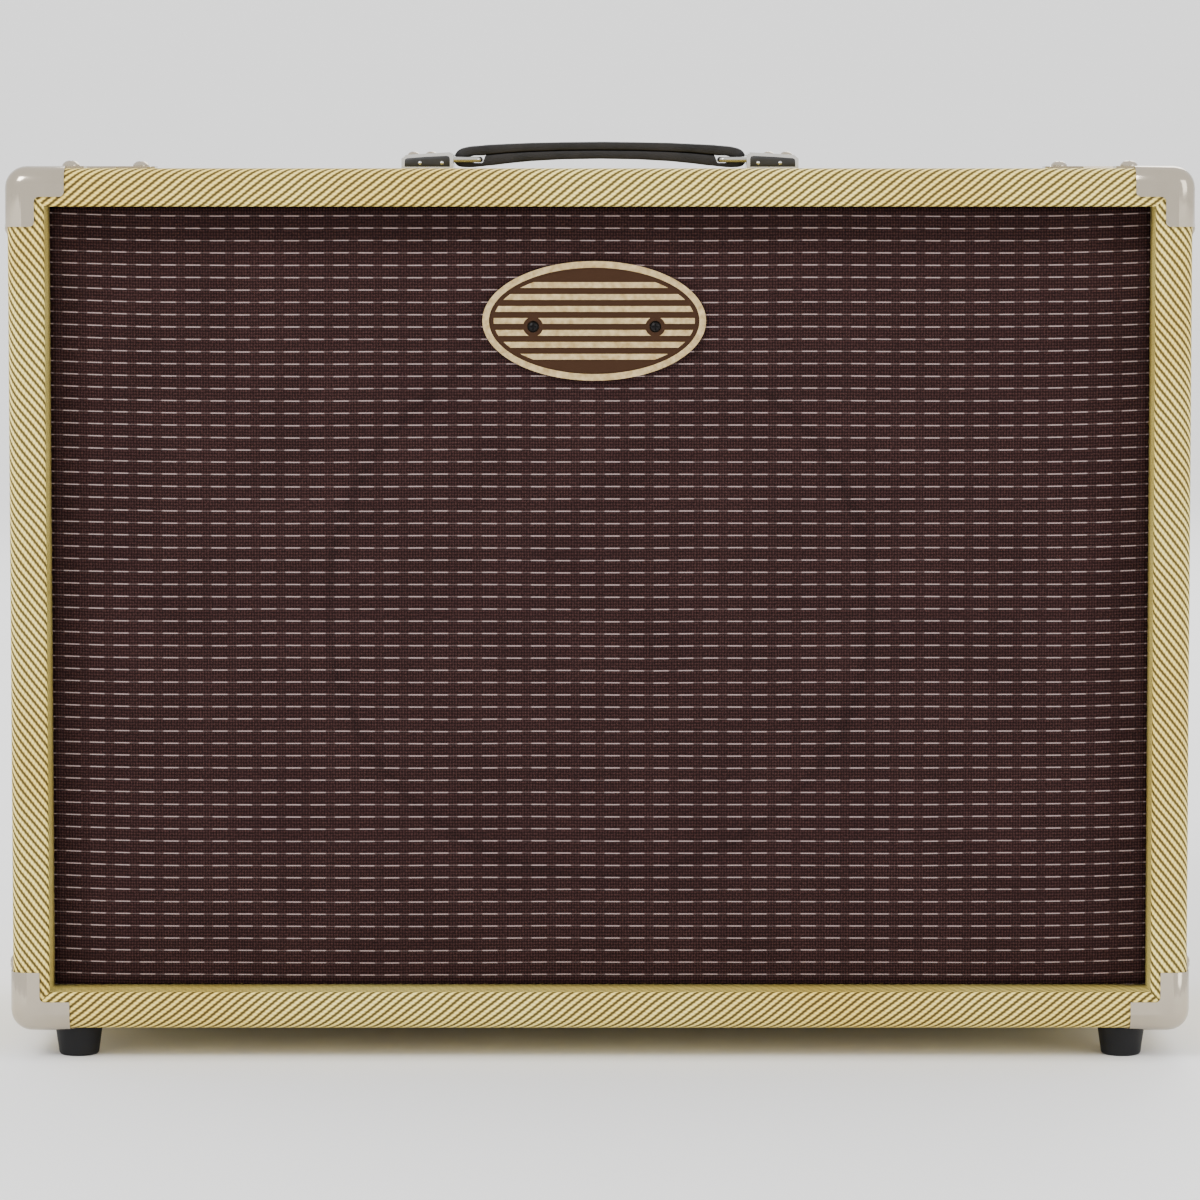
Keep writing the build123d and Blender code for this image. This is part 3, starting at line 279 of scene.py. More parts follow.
def grille_finish():
    """Oxblood cloth with a fine square weave and pale dashes where a thick thread floats over it.

    Row and dash numbers are height / row pitch and x / dash pitch, both shifted a little by slow noise,
    and the rows also by a pull towards the two side edges. A faint ring of painted shade darkens the
    cloth over the edge of the hole cut in the board, where the stretched cloth dips.
    """
    finish = Finish("grille_cloth", linear(56, 40, 40), 0.85)
    finish.matt(0.12)
    x, y, z = finish.parts(finish.place(kind="UV"))
    point = finish.join(x, y, 0.0)
    pull = finish.sum("POWER", finish.sum("DIVIDE", finish.sum("ABSOLUTE", x), 0.285), 9.0)
    sway = finish.rescale(finish.noise(point, 7.0, 2.0), 0.0, 1.0, -0.0009, 0.0009)
    row_at = finish.sum("ADD", finish.sum("MULTIPLY_ADD", pull, -0.0016, y), sway)
    row = finish.sum("DIVIDE", row_at, row_pitch)
    row_part = finish.sum("ABSOLUTE", finish.sum("SUBTRACT", finish.sum("FRACT", row), 0.5))
    dash = finish.sum("DIVIDE", finish.sum("ADD", x, finish.sum("MULTIPLY", sway, 0.8)), dash_pitch)
    dash_part = finish.sum("ABSOLUTE", finish.sum("SUBTRACT", finish.sum("FRACT", dash), 0.5))
    float_over = finish.rescale(dash_part, 0.27, 0.35, 1.0, 0.0)
    thick = finish.rescale(row_part, 0.012, 0.066, 1.0, 0.0)
    thin = finish.rescale(row_part, 0.0, 0.046, 1.0, 0.0)
    pale = finish.sum("MULTIPLY", thick, float_over)
    faint = finish.sum("MULTIPLY", thin, 0.30)
    thread = finish.sum("MAXIMUM", pale, faint)
    warp = finish.sum("SINE", finish.sum("MULTIPLY", x, 2 * np.pi / warp_pitch))
    weft = finish.sum("SINE", finish.sum("MULTIPLY", row_at, 2 * np.pi / weft_pitch))
    weave = finish.sum("MULTIPLY_ADD", finish.sum("ADD", warp, weft), 0.22, 0.5)
    speck = finish.noise(point, 900.0, 3.0)
    blotch = finish.noise(point, 26.0, 3.0)
    weave = finish.sum("ADD", weave, finish.rescale(speck, 0.3, 0.7, -0.3, 0.3))
    ground = finish.ramp(
        weave,
        (0.05, linear(20, 8, 8)),
        (0.5, linear(36, 18, 18)),
        (1.0, linear(64, 40, 38)),
    )
    worn = finish.mix(1.0, ground, linear(205, 190, 190), "MULTIPLY")
    ground = finish.mix(finish.rescale(blotch, 0.35, 0.65, 0.0, 0.45), ground, worn)
    # Painted shade: a faint darker ring over the edge of the speaker hole, standing in for the shade where
    # the stretched cloth dips over it.
    up = finish.sum("SUBTRACT", y, speaker_height)
    square = finish.sum("ADD", finish.sum("MULTIPLY", x, x), finish.sum("MULTIPLY", up, up))
    radius = finish.sum("SQRT", square)
    ring = finish.sum("ABSOLUTE", finish.sum("SUBTRACT", radius, baffle_hole))
    painted_hole_shade = finish.mix(1.0, ground, linear(215, 208, 208), "MULTIPLY")
    ground = finish.mix(finish.rescale(ring, 0.0005, 0.0045, 0.7, 0.0), ground, painted_hole_shade)
    finish.colour(finish.mix(thread, ground, linear(166, 146, 144)))
    height = finish.sum("MULTIPLY_ADD", thread, 1.1, weave)
    finish.bump(height, 0.00022)
    return finish.material


def metal_finish(name, colour, roughness, wear=0.05, streak=None):
    """Plated or raw metal: smudges change the roughness, and streaks can run along one direction."""
    finish = Finish(name, colour, roughness, 1.0)
    smudge = finish.noise(finish.place(), 60.0, 4.0)
    finish.rough(finish.rescale(smudge, 0.3, 0.7, roughness, roughness + wear))
    dull = tuple(0.86 * part for part in colour[:3]) + (1.0,)
    finish.colour(finish.mix(finish.rescale(smudge, 0.45, 0.75, 0.0, 0.5), colour, dull))
    fine = finish.noise(finish.place(scale=streak or (1.0, 1.0, 1.0)), 700.0, 2.0)
    finish.bump(fine, 0.00002, 0.35 if streak else 0.03)
    return finish.material


def moulded_finish(name, colour, roughness, grain=900.0, depth=0.00004, gloss=0.5):
    """Moulded plastic or rubber: a fine pebbled skin with slightly paler worn patches."""
    finish = Finish(name, colour, roughness)
    finish.matt(gloss)
    point = finish.place()
    pebble = finish.cells(point, grain)
    rub = finish.noise(point, 45.0, 4.0)
    paler = tuple(min(1.0, part * 1.5 + 0.004) for part in colour[:3]) + (1.0,)
    finish.colour(finish.mix(finish.rescale(rub, 0.45, 0.72, 0.0, 0.6), colour, paler))
    finish.rough(finish.rescale(rub, 0.3, 0.7, roughness - 0.05, roughness + 0.1))
    finish.bump(pebble, depth)
    return finish.material


ring_count = 38.0


def wood_finish(name, stretch, light, dark):
    """Sawn timber: rings stretched along the board, with fine pores in the same direction."""
    finish = Finish(name, light, 0.6)
    point = finish.place(scale=stretch)
    bend = finish.noise(point, 9.0, 3.0)
    rings = finish.sum("SINE", finish.sum("MULTIPLY", bend, ring_count))
    pore = finish.noise(point, 420.0, 2.0)
    tone = finish.sum("MULTIPLY_ADD", rings, 0.30, finish.rescale(pore, 0.3, 0.7, 0.25, 0.75))
    finish.colour(finish.ramp(tone, (0.1, dark), (0.9, light)))
    finish.rough(finish.rescale(pore, 0.3, 0.7, 0.55, 0.75))
    finish.bump(tone, 0.00012)
    return finish.material


def leather_finish():
    """Black strap leather: pebbled grain, creases across it and a soft worn shine on the crown."""
    finish = Finish("black_leather", linear(30, 29, 30), 0.45)
    finish.matt(0.3)
    point = finish.place()
    pebble = finish.cells(point, 1300.0)
    crease = finish.noise(finish.place(scale=(6.0, 1.0, 6.0)), 120.0, 3.0)
    rub = finish.noise(point, 70.0, 4.0)
    finish.colour(finish.ramp(rub, (0.3, linear(12, 11, 12)), (0.75, linear(34, 31, 31))))
    finish.rough(finish.rescale(rub, 0.3, 0.7, 0.38, 0.58))
    finish.bump(finish.sum("MULTIPLY_ADD", crease, 0.8, pebble), 0.00012)
    return finish.material


def paper_finish(name, colour, ribs, roughness=0.85, rib_depth=0.0004):
    """Pressed paper or cloth round the speaker's axis, with concentric ribs at the given pitch."""
    finish = Finish(name, colour, roughness)
    point = finish.place()
    x, y, z = finish.parts(point)
    up = finish.sum("SUBTRACT", z, speaker_height)
    square = finish.sum("ADD", finish.sum("MULTIPLY", x, x), finish.sum("MULTIPLY", up, up))
    wave = finish.sum("SINE", finish.sum("MULTIPLY", finish.sum("SQRT", square), 2 * np.pi / ribs))
    fibre = finish.noise(point, 800.0, 4.0)
    paler = tuple(min(1.0, part * 1.6 + 0.01) for part in colour[:3]) + (1.0,)
    finish.colour(finish.mix(finish.rescale(fibre, 0.35, 0.7, 0.0, 0.8), colour, paler))
    finish.bump(finish.sum("MULTIPLY_ADD", fibre, 0.25, wave), rib_depth)
    return finish.material


def badge_finish():
    """Die-cast plate: raised rim and flutes rubbed to warm gold, and the sunken field left dark brown."""
    finish = Finish("badge_gold", linear(160, 136, 94), 0.36, 0.9)
    point = finish.place()
    x, y, z = finish.parts(point)
    raised = finish.rescale(y, -0.10880, -0.10845, 1.0, 0.0)
    rub = finish.noise(point, 300.0, 4.0)
    gold = finish.ramp(rub, (0.3, linear(170, 142, 94)), (0.7, linear(214, 190, 142)))
    finish.colour(finish.mix(raised, linear(60, 40, 27), gold))
    finish.rough(finish.rescale(rub, 0.3, 0.7, 0.3, 0.48))
    finish.bump(finish.noise(point, 1500.0, 2.0), 0.00005)
    return finish.material


transformer_y = 0.066
lamination_pitch = 0.0009


def transformer_finish():
    """Varnished laminations in the core, and waxed paper on the winding that shows beyond it."""
    finish = Finish("transformer_iron", linear(52, 50, 52), 0.5, 0.4)
    x, y, z = finish.parts(finish.place())
    sheets = finish.sum("SINE", finish.sum("MULTIPLY", y, 2 * np.pi / lamination_pitch))
    core_half = finish.rescale(x, -0.05, 0.05, 0.0161, 0.0205)
    out = finish.sum("ABSOLUTE", finish.sum("SUBTRACT", y, transformer_y))
    beyond = finish.sum("GREATER_THAN", out, core_half)
    iron = finish.ramp(sheets, (0.2, linear(38, 37, 40)), (0.9, linear(84, 82, 84)))
    paper = finish.noise(finish.join(x, y, z), 240.0, 3.0)
    wrap = finish.ramp(paper, (0.3, linear(118, 92, 52)), (0.7, linear(160, 132, 84)))
    finish.colour(finish.mix(beyond, iron, wrap))
    finish.bump(sheets, 0.00006)
    return finish.material


def glass_finish():
    """Clear glass, thin enough not to bend what is seen through it."""
    finish = Finish("valve_glass", (0.97, 0.98, 0.98, 1.0), 0.03)
    finish.shader.inputs["Transmission Weight"].default_value = 1.0
    finish.shader.inputs["IOR"].default_value = 1.06
    soot = finish.noise(finish.place(), 160.0, 3.0)
    finish.rough(finish.rescale(soot, 0.45, 0.8, 0.02, 0.12))
    return finish.material


def jewel_finish():
    """Faceted red lamp glass with a deep centre."""
    finish = Finish("lamp_jewel", linear(176, 16, 14), 0.12)
    finish.shader.inputs["Transmission Weight"].default_value = 0.35
    finish.shader.inputs["Coat Weight"].default_value = 0.6
    depth = finish.noise(finish.place(), 240.0, 2.0)
    finish.colour(finish.ramp(depth, (0.3, linear(118, 6, 8)), (0.7, linear(206, 30, 22))))
    return finish.material


def print_finish(name, colour):
    """Screen-printed ink, a little uneven at its edges."""
    finish = Finish(name, colour, 0.55)
    patch = finish.noise(finish.place(), 700.0, 2.0)
    paler = tuple(min(1.0, part * 1.3 + 0.01) for part in colour[:3]) + (1.0,)
    finish.colour(finish.mix(finish.rescale(patch, 0.4, 0.7, 0.0, 0.8), colour, paler))
    return finish.material


def card_finish(name, colour):
    """Fibre card and waxed sleeves: mottled and matt."""
    finish = Finish(name, colour, 0.75)
    mottle = finish.noise(finish.place(), 320.0, 4.0)
    darker = tuple(part * 0.62 for part in colour[:3]) + (1.0,)
    finish.colour(finish.mix(finish.rescale(mottle, 0.4, 0.65, 0.0, 0.9), colour, darker))
    finish.bump(mottle, 0.00006)
    return finish.material


pine_light = linear(214, 178, 122)
pine_dark = linear(166, 122, 70)
nickel = linear(176, 166, 149)
chrome = linear(214, 212, 208)
steel = linear(150, 150, 152)

finishes = {
    "pine": wood_finish("pine", (0.35, 4.0, 4.0), pine_light, pine_dark),
    "plywood": wood_finish("plywood", (0.5, 6.0, 3.0), linear(186, 150, 104), linear(140, 104, 64)),
    "covered_board": tweed_finish("covered_board", "Object"),
    "tweed": tweed_finish("tweed", "UV"),
    "grille_cloth": grille_finish(),
    "badge_gold": badge_finish(),
    "black_steel": metal_finish("black_steel", linear(34, 33, 33), 0.38),
    "nickel_plate": metal_finish("nickel_plate", nickel, 0.13),
    "screw_chrome": metal_finish("screw_chrome", nickel, 0.2),
    "black_rubber": moulded_finish("black_rubber", linear(16, 16, 18), 0.6, gloss=0.25),
    "zinc_steel": metal_finish("zinc_steel", linear(176, 176, 172), 0.36, 0.12),
    "black_leather": leather_finish(),
    "link_steel": metal_finish("link_steel", linear(176, 174, 170), 0.16),
    "cap_chrome": metal_finish("cap_chrome", linear(206, 204, 200), 0.12),
    "chassis_steel": metal_finish("chassis_steel", linear(168, 168, 166), 0.42, 0.12, (1.0, 8.0, 8.0)),
    "panel_aluminium": metal_finish("panel_aluminium", linear(196, 196, 194), 0.3, 0.06, (0.2, 9.0, 9.0)),
    "nut_nickel": metal_finish("nut_nickel", nickel, 0.24),
    "knob_black": moulded_finish("knob_black", linear(26, 25, 25), 0.3),
    "pot_steel": metal_finish("pot_steel", steel, 0.4),
    "lever_chrome": metal_finish("lever_chrome", chrome, 0.12),
    "bushing_nickel": metal_finish("bushing_nickel", nickel, 0.28),
    "jack_plastic": moulded_finish("jack_plastic", linear(30, 30, 31), 0.4),
    "fuse_plastic": moulded_finish("fuse_plastic", linear(28, 27, 27), 0.36),
    "inlet_plastic": moulded_finish("inlet_plastic", linear(24, 24, 25), 0.42),
    "pin_brass": metal_finish("pin_brass", linear(206, 186, 130), 0.3),
    "lamp_chrome": metal_finish("lamp_chrome", chrome, 0.12),
    "lamp_jewel": jewel_finish(),
    "transformer_iron": transformer_finish(),
    "capacitor_sleeve": card_finish("capacitor_sleeve", linear(196, 170, 92)),
    "fibre_board": card_finish("fibre_board", linear(120, 84, 48)),
    "valve_glass": glass_finish(),
    "socket_ceramic": card_finish("socket_ceramic", linear(206, 200, 186)),
    "basket_steel": metal_finish("basket_steel", linear(92, 94, 98), 0.45, 0.1),
    "ferrite": moulded_finish("ferrite", linear(46, 46, 48), 0.6, 500.0),
    "yoke_steel": metal_finish("yoke_steel", linear(168, 168, 160), 0.38, 0.12, (6.0, 1.0, 6.0)),
    "cone_paper": paper_finish("cone_paper", linear(58, 54, 50), 0.012),
    "cap_paper": paper_finish("cap_paper", linear(48, 45, 42), 0.004, 0.8, 0.00008),
    "coil_copper": metal_finish("coil_copper", linear(186, 112, 72), 0.36),
    "surround_cloth": paper_finish("surround_cloth", linear(44, 41, 38), 0.0052, 0.7, 0.0008),
    "spider_cloth": paper_finish("spider_cloth", linear(168, 132, 72), 0.006, 0.8, 0.0010),
    "gasket_paper": paper_finish("gasket_paper", linear(120, 104, 80), 0.003, 0.9, 0.0001),
    "terminal_board": card_finish("terminal_board", linear(96, 66, 40)),
    "lead_jacket": moulded_finish("lead_jacket", linear(30, 29, 29), 0.5, 1500.0),
}
pine_upright = wood_finish("pine_upright", (4.0, 4.0, 0.35), pine_light, pine_dark)
panel_ink = print_finish("panel_ink", linear(30, 30, 32))
pointer_paint = print_finish("pointer_paint", linear(232, 230, 222))
dark_enamel = moulded_finish("dark_enamel", linear(20, 19, 20), 0.4, 2000.0, 0.00002)
plate_nickel = metal_finish("valve_plate", linear(74, 74, 76), 0.5, 0.1)
thread_black = print_finish("thread", linear(66, 62, 60))

slots = {entry["node"]: entry["material_slot"] for entry in frame["record"]["subparts"]}
upright_boards = {"left_side_board", "right_side_board"}
for name, node in frame["nodes"].items():
    finish = pine_upright if name in upright_boards else finishes[slots[name]]
    node.data.materials.clear()
    node.data.materials.append(finish)

# ---- Building pieces ---------------------------------------------------------------------------


def grid_surface(points, uv=None, wrap=False):
    """A grid of points (rows, columns, 3) as a surface of quads; wrap closes each row on itself."""
    rows, columns = points.shape[:2]
    index = np.arange(rows * columns).reshape(rows, columns)
    if wrap:
        index = np.hstack([index, index[:, :1]])
    quads = np.stack([index[:-1, :-1], index[:-1, 1:], index[1:, 1:], index[1:, :-1]], axis=-1)
    flat_uv = np.zeros((rows * columns, 2)) if uv is None else uv.reshape(-1, 2)
    return points.reshape(-1, 3), quads.reshape(-1, 4), flat_uv


merge_distance = 1e-6


def make_piece(name, surfaces, body, slot, finish=None, closed=True, smooth=True):
    """One mesh made from several surfaces, welded where they meet, riding on its body."""
    starts = np.cumsum([0] + [len(points) for points, _, _ in surfaces[:-1]])
    points = np.concatenate([points for points, _, _ in surfaces])
    quads = np.concatenate([faces + start for (_, faces, _), start in zip(surfaces, starts)])
    uv = np.concatenate([flat for _, _, flat in surfaces])
    mesh = bpy.data.meshes.new(name)
    mesh.from_pydata(points.tolist(), [], quads.tolist())
    layer = mesh.uv_layers.new(name="cloth")
    corners = np.zeros(len(mesh.loops), dtype=np.int32)
    mesh.loops.foreach_get("vertex_index", corners)
    layer.data.foreach_set("uv", uv[corners].astype(np.float32).ravel())
    shell = bmesh.new()
    shell.from_mesh(mesh)
    bmesh.ops.remove_doubles(shell, verts=shell.verts, dist=merge_distance)
    bmesh.ops.dissolve_degenerate(shell, edges=shell.edges, dist=merge_distance)
    if closed:
        bmesh.ops.recalc_face_normals(shell, faces=shell.faces)
    shell.to_mesh(mesh)
    shell.free()
    mesh.polygons.foreach_set("use_smooth", [smooth] * len(mesh.polygons))
    piece = bpy.data.objects.new(name, mesh)
    bpy.context.scene.collection.objects.link(piece)
    mesh.materials.append(finish or finishes[slot])
    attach(piece, body)
    return piece


def bead(start, end, across, rise, up, steps=6, around=12):
    """A long rounded bead from start to end, lying on a face whose outward direction is up.

    With latitude s from 0 to pi and angle t round the bead, a point is the nearer end point, plus
    direction * -across * cos(s), plus sin(s) * (side * across * cos(t) + up * rise * sin(t)).
    """
    start, end, up = (np.asarray(value, dtype=float) for value in (start, end, up))
    run = end - start
    direction = run / np.linalg.norm(run)
    side = np.cross(up, direction)
    side = side / np.linalg.norm(side)
    half = np.linspace(0, np.pi / 2, steps)
    latitude = np.concatenate([half, np.pi / 2 + half])[:, None]
    base = np.repeat(np.stack([start, end]), steps, axis=0)[:, None, :]
    angle = np.linspace(0, 2 * np.pi, around, endpoint=False)[None, :]
    lengthwise = -np.cos(latitude)[..., None] * across * direction
    girth = np.sin(latitude)[..., None] * (
        np.cos(angle)[..., None] * across * side + np.sin(angle)[..., None] * rise * up
    )
    return grid_surface(base + lengthwise + girth, wrap=True)


def turned(profile, axis_point, axis, around=48):
    """A profile of (radius, height) pairs turned about an axis through a point."""
    axis = np.asarray(axis, dtype=float)
    first = np.cross(axis, (0.3, 0.5, 0.81))
    first = first / np.linalg.norm(first)
    second = np.cross(axis, first)
    radius, height = (np.array(column)[:, None, None] for column in zip(*profile))
    angle = np.linspace(0, 2 * np.pi, around, endpoint=False)[None, :, None]
    spoke = np.cos(angle) * first + np.sin(angle) * second
    return grid_surface(np.asarray(axis_point) + height * axis + radius * spoke, wrap=True)


# ---- Tweed over the cabinet --------------------------------------------------------------------

inner_edge = 0.0020
cloth_thickness = 0.0006
straight_points = 41
corner_points = 5


def tweed_profile():
    """The path of the cloth's face across one board, as depth y and inset from the outer faces.

    It runs from the grille round the inner edge, over the front face, round the edge radius, along
    the outer face, and the same way round the rear face to the panels.
    """
    turn = np.linspace(0, np.pi / 2, 9)
    front, rear = -half_depth, half_depth
    small, large = inner_edge, edge_radius
    inner = cloth_inset
    pieces = [
        np.array([[grille_y, inner], [grille_y - 0.012, inner]]),
        np.stack([front + small - small * np.sin(turn), inner - small + small * np.cos(turn)], axis=1),
        np.stack([front + large - large * np.cos(turn), large - large * np.sin(turn)], axis=1),
        np.stack([np.linspace(front + large, rear - large, 15)[1:-1], np.zeros(13)], axis=1),
        np.stack([rear - large + large * np.sin(turn), large - large * np.cos(turn)], axis=1),
        np.stack([rear - small + small * np.cos(turn), inner - small + small * np.sin(turn)], axis=1),
        np.array([[batten_y + 0.008, inner], [batten_y, inner]]),
    ]
    return np.concatenate(pieces)


def tweed_side(side_x, side_z, half_long, half_out, start):
    """The cloth over one board: the profile carried along the board and half round both corners.

    For inset d the corner radius is r - d, or nothing where the inset is larger. Along the straight
    run the point is centre * q; round a corner of angle t it is centre + radius * sin(t) along, and
    outwards it is the board's distance less the larger of r and d, plus radius * cos(t).
    """
    path = tweed_profile()
    depth, inset = path[:, 0], path[:, 1]
    step = np.hypot(np.diff(depth), np.diff(inset))
    across = np.concatenate([[0.0], np.cumsum(step)])
    straight = np.linspace(-1.0, 1.0, straight_points)
    arc = np.linspace(0, np.pi / 4, corner_points + 1)[1:]
    end = np.ones(corner_points)
    spread = np.concatenate([-end, straight, end])[None, :]
    angle = np.concatenate([-arc[::-1], np.zeros(straight_points), arc])[None, :]
    corner = np.maximum(side_radius, inset)[:, None]
    radius = np.maximum(side_radius - inset, 0.0)[:, None]
    along = (half_long - corner) * spread + radius * np.sin(angle)
    out = half_out - corner + radius * np.cos(angle)
    x = along * side_x[0] + out * side_x[1]
    z = along * side_z[0] + out * side_z[1] + body_middle
    y = np.broadcast_to(depth[:, None], x.shape)
    u = start + (half_long - corner) * spread + radius * angle
    v = np.broadcast_to(across[:, None], u.shape)
    return grid_surface(np.stack([x, y, z], axis=-1), np.stack([u, v], axis=-1))


quarter = half_width + half_height
tweed_sides = [
    tweed_side((1, 0), (0, 1), half_width, half_height, 0.0),
    tweed_side((0, 1), (-1, 0), half_height, half_width, quarter),
    tweed_side((-1, 0), (0, -1), half_width, half_height, 2 * quarter),
    tweed_side((0, -1), (1, 0), half_height, half_width, 3 * quarter),
]
tweed = make_piece("tweed_cloth", tweed_sides, "cabinet", "tweed", closed=False)
tweed_body = tweed.modifiers.new("thickness", "SOLIDIFY")
tweed_body.thickness = cloth_thickness
tweed_body.offset = -1.0
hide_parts("tweed_covering")

# ---- Grille cloth ------------------------------------------------------------------------------

grille_half = (0.2858, 0.2037)


def grille_grid():
    """The cloth stretched over the baffle: flat, with a slow ripple that dies away at its edges."""
    x = np.linspace(-grille_half[0], grille_half[0], 141)[None, :]
    z = body_middle + np.linspace(-grille_half[1], grille_half[1], 101)[:, None]
    hold = (1 - (x / grille_half[0]) ** 8) * (1 - ((z - body_middle) / grille_half[1]) ** 8)
    ripple = np.sin(38 * x + 21 * z) * np.sin(29 * z - 12 * x + 0.7)
    y = grille_y + 0.0001 * hold * ripple
    x, z, y = np.broadcast_arrays(x, z, y)
    return grid_surface(np.stack([x, y, z], axis=-1), np.stack([x, z], axis=-1))


grille = make_piece("grille_weave", [grille_grid()], "cabinet", "grille_cloth", closed=False)
grille_body = grille.modifiers.new("thickness", "SOLIDIFY")
grille_body.thickness = cloth_thickness
grille_body.offset = -1.0
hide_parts("grille_cloth")

# ---- Handle ------------------------------------------------------------------------------------

strap_reach = 0.0781
strap_tail = 0.0030
strap_tuck = 0.0060
stitch_step = 0.0044
stitch_length = 0.0026
stitch_sink = 0.00035
stitch_side = 0.0096
strap_places = np.array([0, 20, 38, 50, 58, 61.8, 62.9, 68.2, 70.6, 74, 76.8, 78.2]) / 1000
strap_heights = {
    "upper_top": np.array([14.3, 14.1, 13.7, 13.2, 12.8, 12.6, 12.4, 12.0, 11.7, 10.9, 9.6, 8.2]) / 1000,
    "upper_bottom": np.array([9.8, 9.6, 9.0, 8.3, 7.5, 7.2, 6.9, 6.8, 6.2, 5.5, 5.3, 5.6]) / 1000,
    "lower_top": np.array([9.76, 9.56, 8.96, 8.26, 7.46, 7.1, 2.9, 2.9, 5.4, 5.2, 4.8, 4.2]) / 1000,
    "lower_bottom": np.array([5.1, 4.8, 3.8, 2.6, 1.6, 1.3, 1.1, 0.6, 0.5, 0.6, 1.1, 2.0]) / 1000,
}


def strap_line(x, line):
    """The height of one of the strap's four lines at a distance x either side of the middle."""
    return body_top + np.interp(abs(x), strap_places, strap_heights[line])


def strap_layer(top, bottom, half_across):
    """One leather layer: a rounded rectangle carried along x between a top and a bottom line.

    With t round the section the point is (x, w * c, middle + h * s), where c and s are the cosine
    and sine of t raised to a small power, and w and h shrink like a circle at the strap's ends.
    """
    x = strap_reach * np.sin(np.linspace(-np.pi / 2, np.pi / 2, 321))
    high = strap_line(x, top)
    low = strap_line(x, bottom)
    kernel = np.ones(3) / 3
    high[1:-1] = np.convolve(high, kernel, "valid")
    low[1:-1] = np.convolve(low, kernel, "valid")
    tail = np.clip((abs(x) - (strap_reach - strap_tail)) / strap_tail, 0.0, 1.0)
    thin = np.sqrt(1 - tail**2)[:, None]
    tuck = np.clip((abs(x) - (strap_reach - strap_tuck)) / strap_tuck, 0.0, 1.0)
    width = half_across * (0.72 + 0.28 * np.sqrt(1 - tuck**2))[:, None]
    angle = np.linspace(0, 2 * np.pi, 40, endpoint=False)[None, :]
    cosine = np.sign(np.cos(angle)) * abs(np.cos(angle)) ** 0.16
    sine = np.sign(np.sin(angle)) * abs(np.sin(angle)) ** 0.2
    middle = ((high + low) / 2)[:, None]
    half = ((high - low) / 2)[:, None]
    y = width * cosine
    z = middle + half * thin * sine
    x = np.broadcast_to(x[:, None], z.shape)
    return grid_surface(np.stack([x, y, z], axis=-1), wrap=True)


strap_layers = [
    strap_layer("upper_top", "upper_bottom", 0.0128),
    strap_layer("lower_top", "lower_bottom", 0.0126),
]
strap = make_piece("handle_leather", strap_layers, "strap", "black_leather")
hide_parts("handle_strap")

stitches = []
for side in (-1, 1):
    for x in np.arange(-0.064, 0.0625, stitch_step):
        start = (x, side * stitch_side, strap_line(x, "upper_top") - stitch_sink)
        after = x + stitch_length
        end = (after, side * stitch_side, strap_line(after, "upper_top") - stitch_sink)
        stitches.append(bead(start, end, 0.00034, 0.0003, (0, 0, 1), 3, 8))
make_piece("strap_stitching", stitches, "strap", "black_leather", thread_black)


cap_half = 0.018
cheek_crown = 0.0005
rivet_places = (0.0848, 0.0966)
rivet_height = 0.0029
rivet_seat = 0.0003
rivet_profile = [(0.0, 0.0009), (0.0005, 0.00082), (0.0010, 0.0004), (0.0012, 0.0)]


def cap_side(side, face):
    """The dark inset cheek of a handle cap: the cap's outline drawn in by nearly 2 mm, gently crowned.

    A point is centre + (outline - centre) * q for q from 0 to 1, standing proud by
    cheek_crown * (1 - q^6). The outline's corners are in millimetres.
    """
    corners = np.array(
        [
            [80.5, 0.8],
            [93.0, 0.8],
            [104.8, 0.8],
            [104.8, 3.0],
            [104.6, 4.7],
            [103.6, 5.4],
            [93.0, 6.2],
            [82.2, 6.7],
            [80.9, 6.3],
            [80.5, 5.0],
        ]
    )
    outline = np.stack([side * corners[:, 0] / 1000, body_top + corners[:, 1] / 1000], axis=1)
    centre = outline.mean(axis=0)
    share = np.array([0.0, 0.35, 0.7, 0.9, 0.97, 1.0])[:, None, None]
    ring = centre + (outline - centre)[None] * share
    proud = cheek_crown * (1 - share[..., 0] ** 6)
    y = face * (cap_half + proud) * np.ones((1, len(outline)))
    return grid_surface(np.stack([ring[..., 0], y, ring[..., 1]], axis=-1), wrap=True)


cheeks = []
rivets = []
for side in (-1, 1):
    for face in (-1, 1):
        cheeks.append(cap_side(side, face))
        for x in rivet_places:
            seat = (side * x, face * (cap_half + rivet_seat), body_top + rivet_height)
            rivets.append(turned(rivet_profile, seat, (0, face, 0), 12))
make_piece("cap_cheeks", cheeks, "cabinet", "cap_chrome", dark_enamel, closed=False)
make_piece("cap_rivets", rivets, "cabinet", "cap_chrome", closed=False)

# ---- Control panel marks -----------------------------------------------------------------------

panel_face = panel_y + 0.00004
mark_inner = 0.0128
mark_outer = 0.0150
number_radius = 0.0186
number_size = 0.0046
sweep_start = np.radians(210.0)
sweep_step = np.radians(-30.0)
marks = []
for x in knob_places.values():
    for number in range(11):
        angle = sweep_start + sweep_step * number
        ray = np.array([-np.cos(angle), 0.0, np.sin(angle)])
        centre = np.array([x, panel_face, control_height])
        inner = centre + mark_inner * ray
        outer = centre + mark_outer * ray
        marks.append(bead(inner, outer, 0.00028, 0.00006, (0, 1, 0), 3, 8))
make_piece("dial_marks", marks, "cabinet", "panel_aluminium", panel_ink)


def dial_number(word, x, z):
    """A printed number facing the rear, centred on a point of the panel."""
    letters = bpy.data.curves.new("dial_number", "FONT")
    letters.body = word
    letters.size = number_size
    letters.align_x = "CENTER"
    letters.align_y = "CENTER"
    letters.resolution_u = 3
    holder = bpy.data.objects.new("dial_number", letters)
    flat = bpy.data.meshes.new_from_object(holder)
    facing = Matrix(((-1, 0, 0, x), (0, 0, 1, panel_face), (0, 1, 0, z), (0, 0, 0, 1)))
    flat.transform(facing)
    bpy.data.objects.remove(holder)
    bpy.data.curves.remove(letters)
    return flat


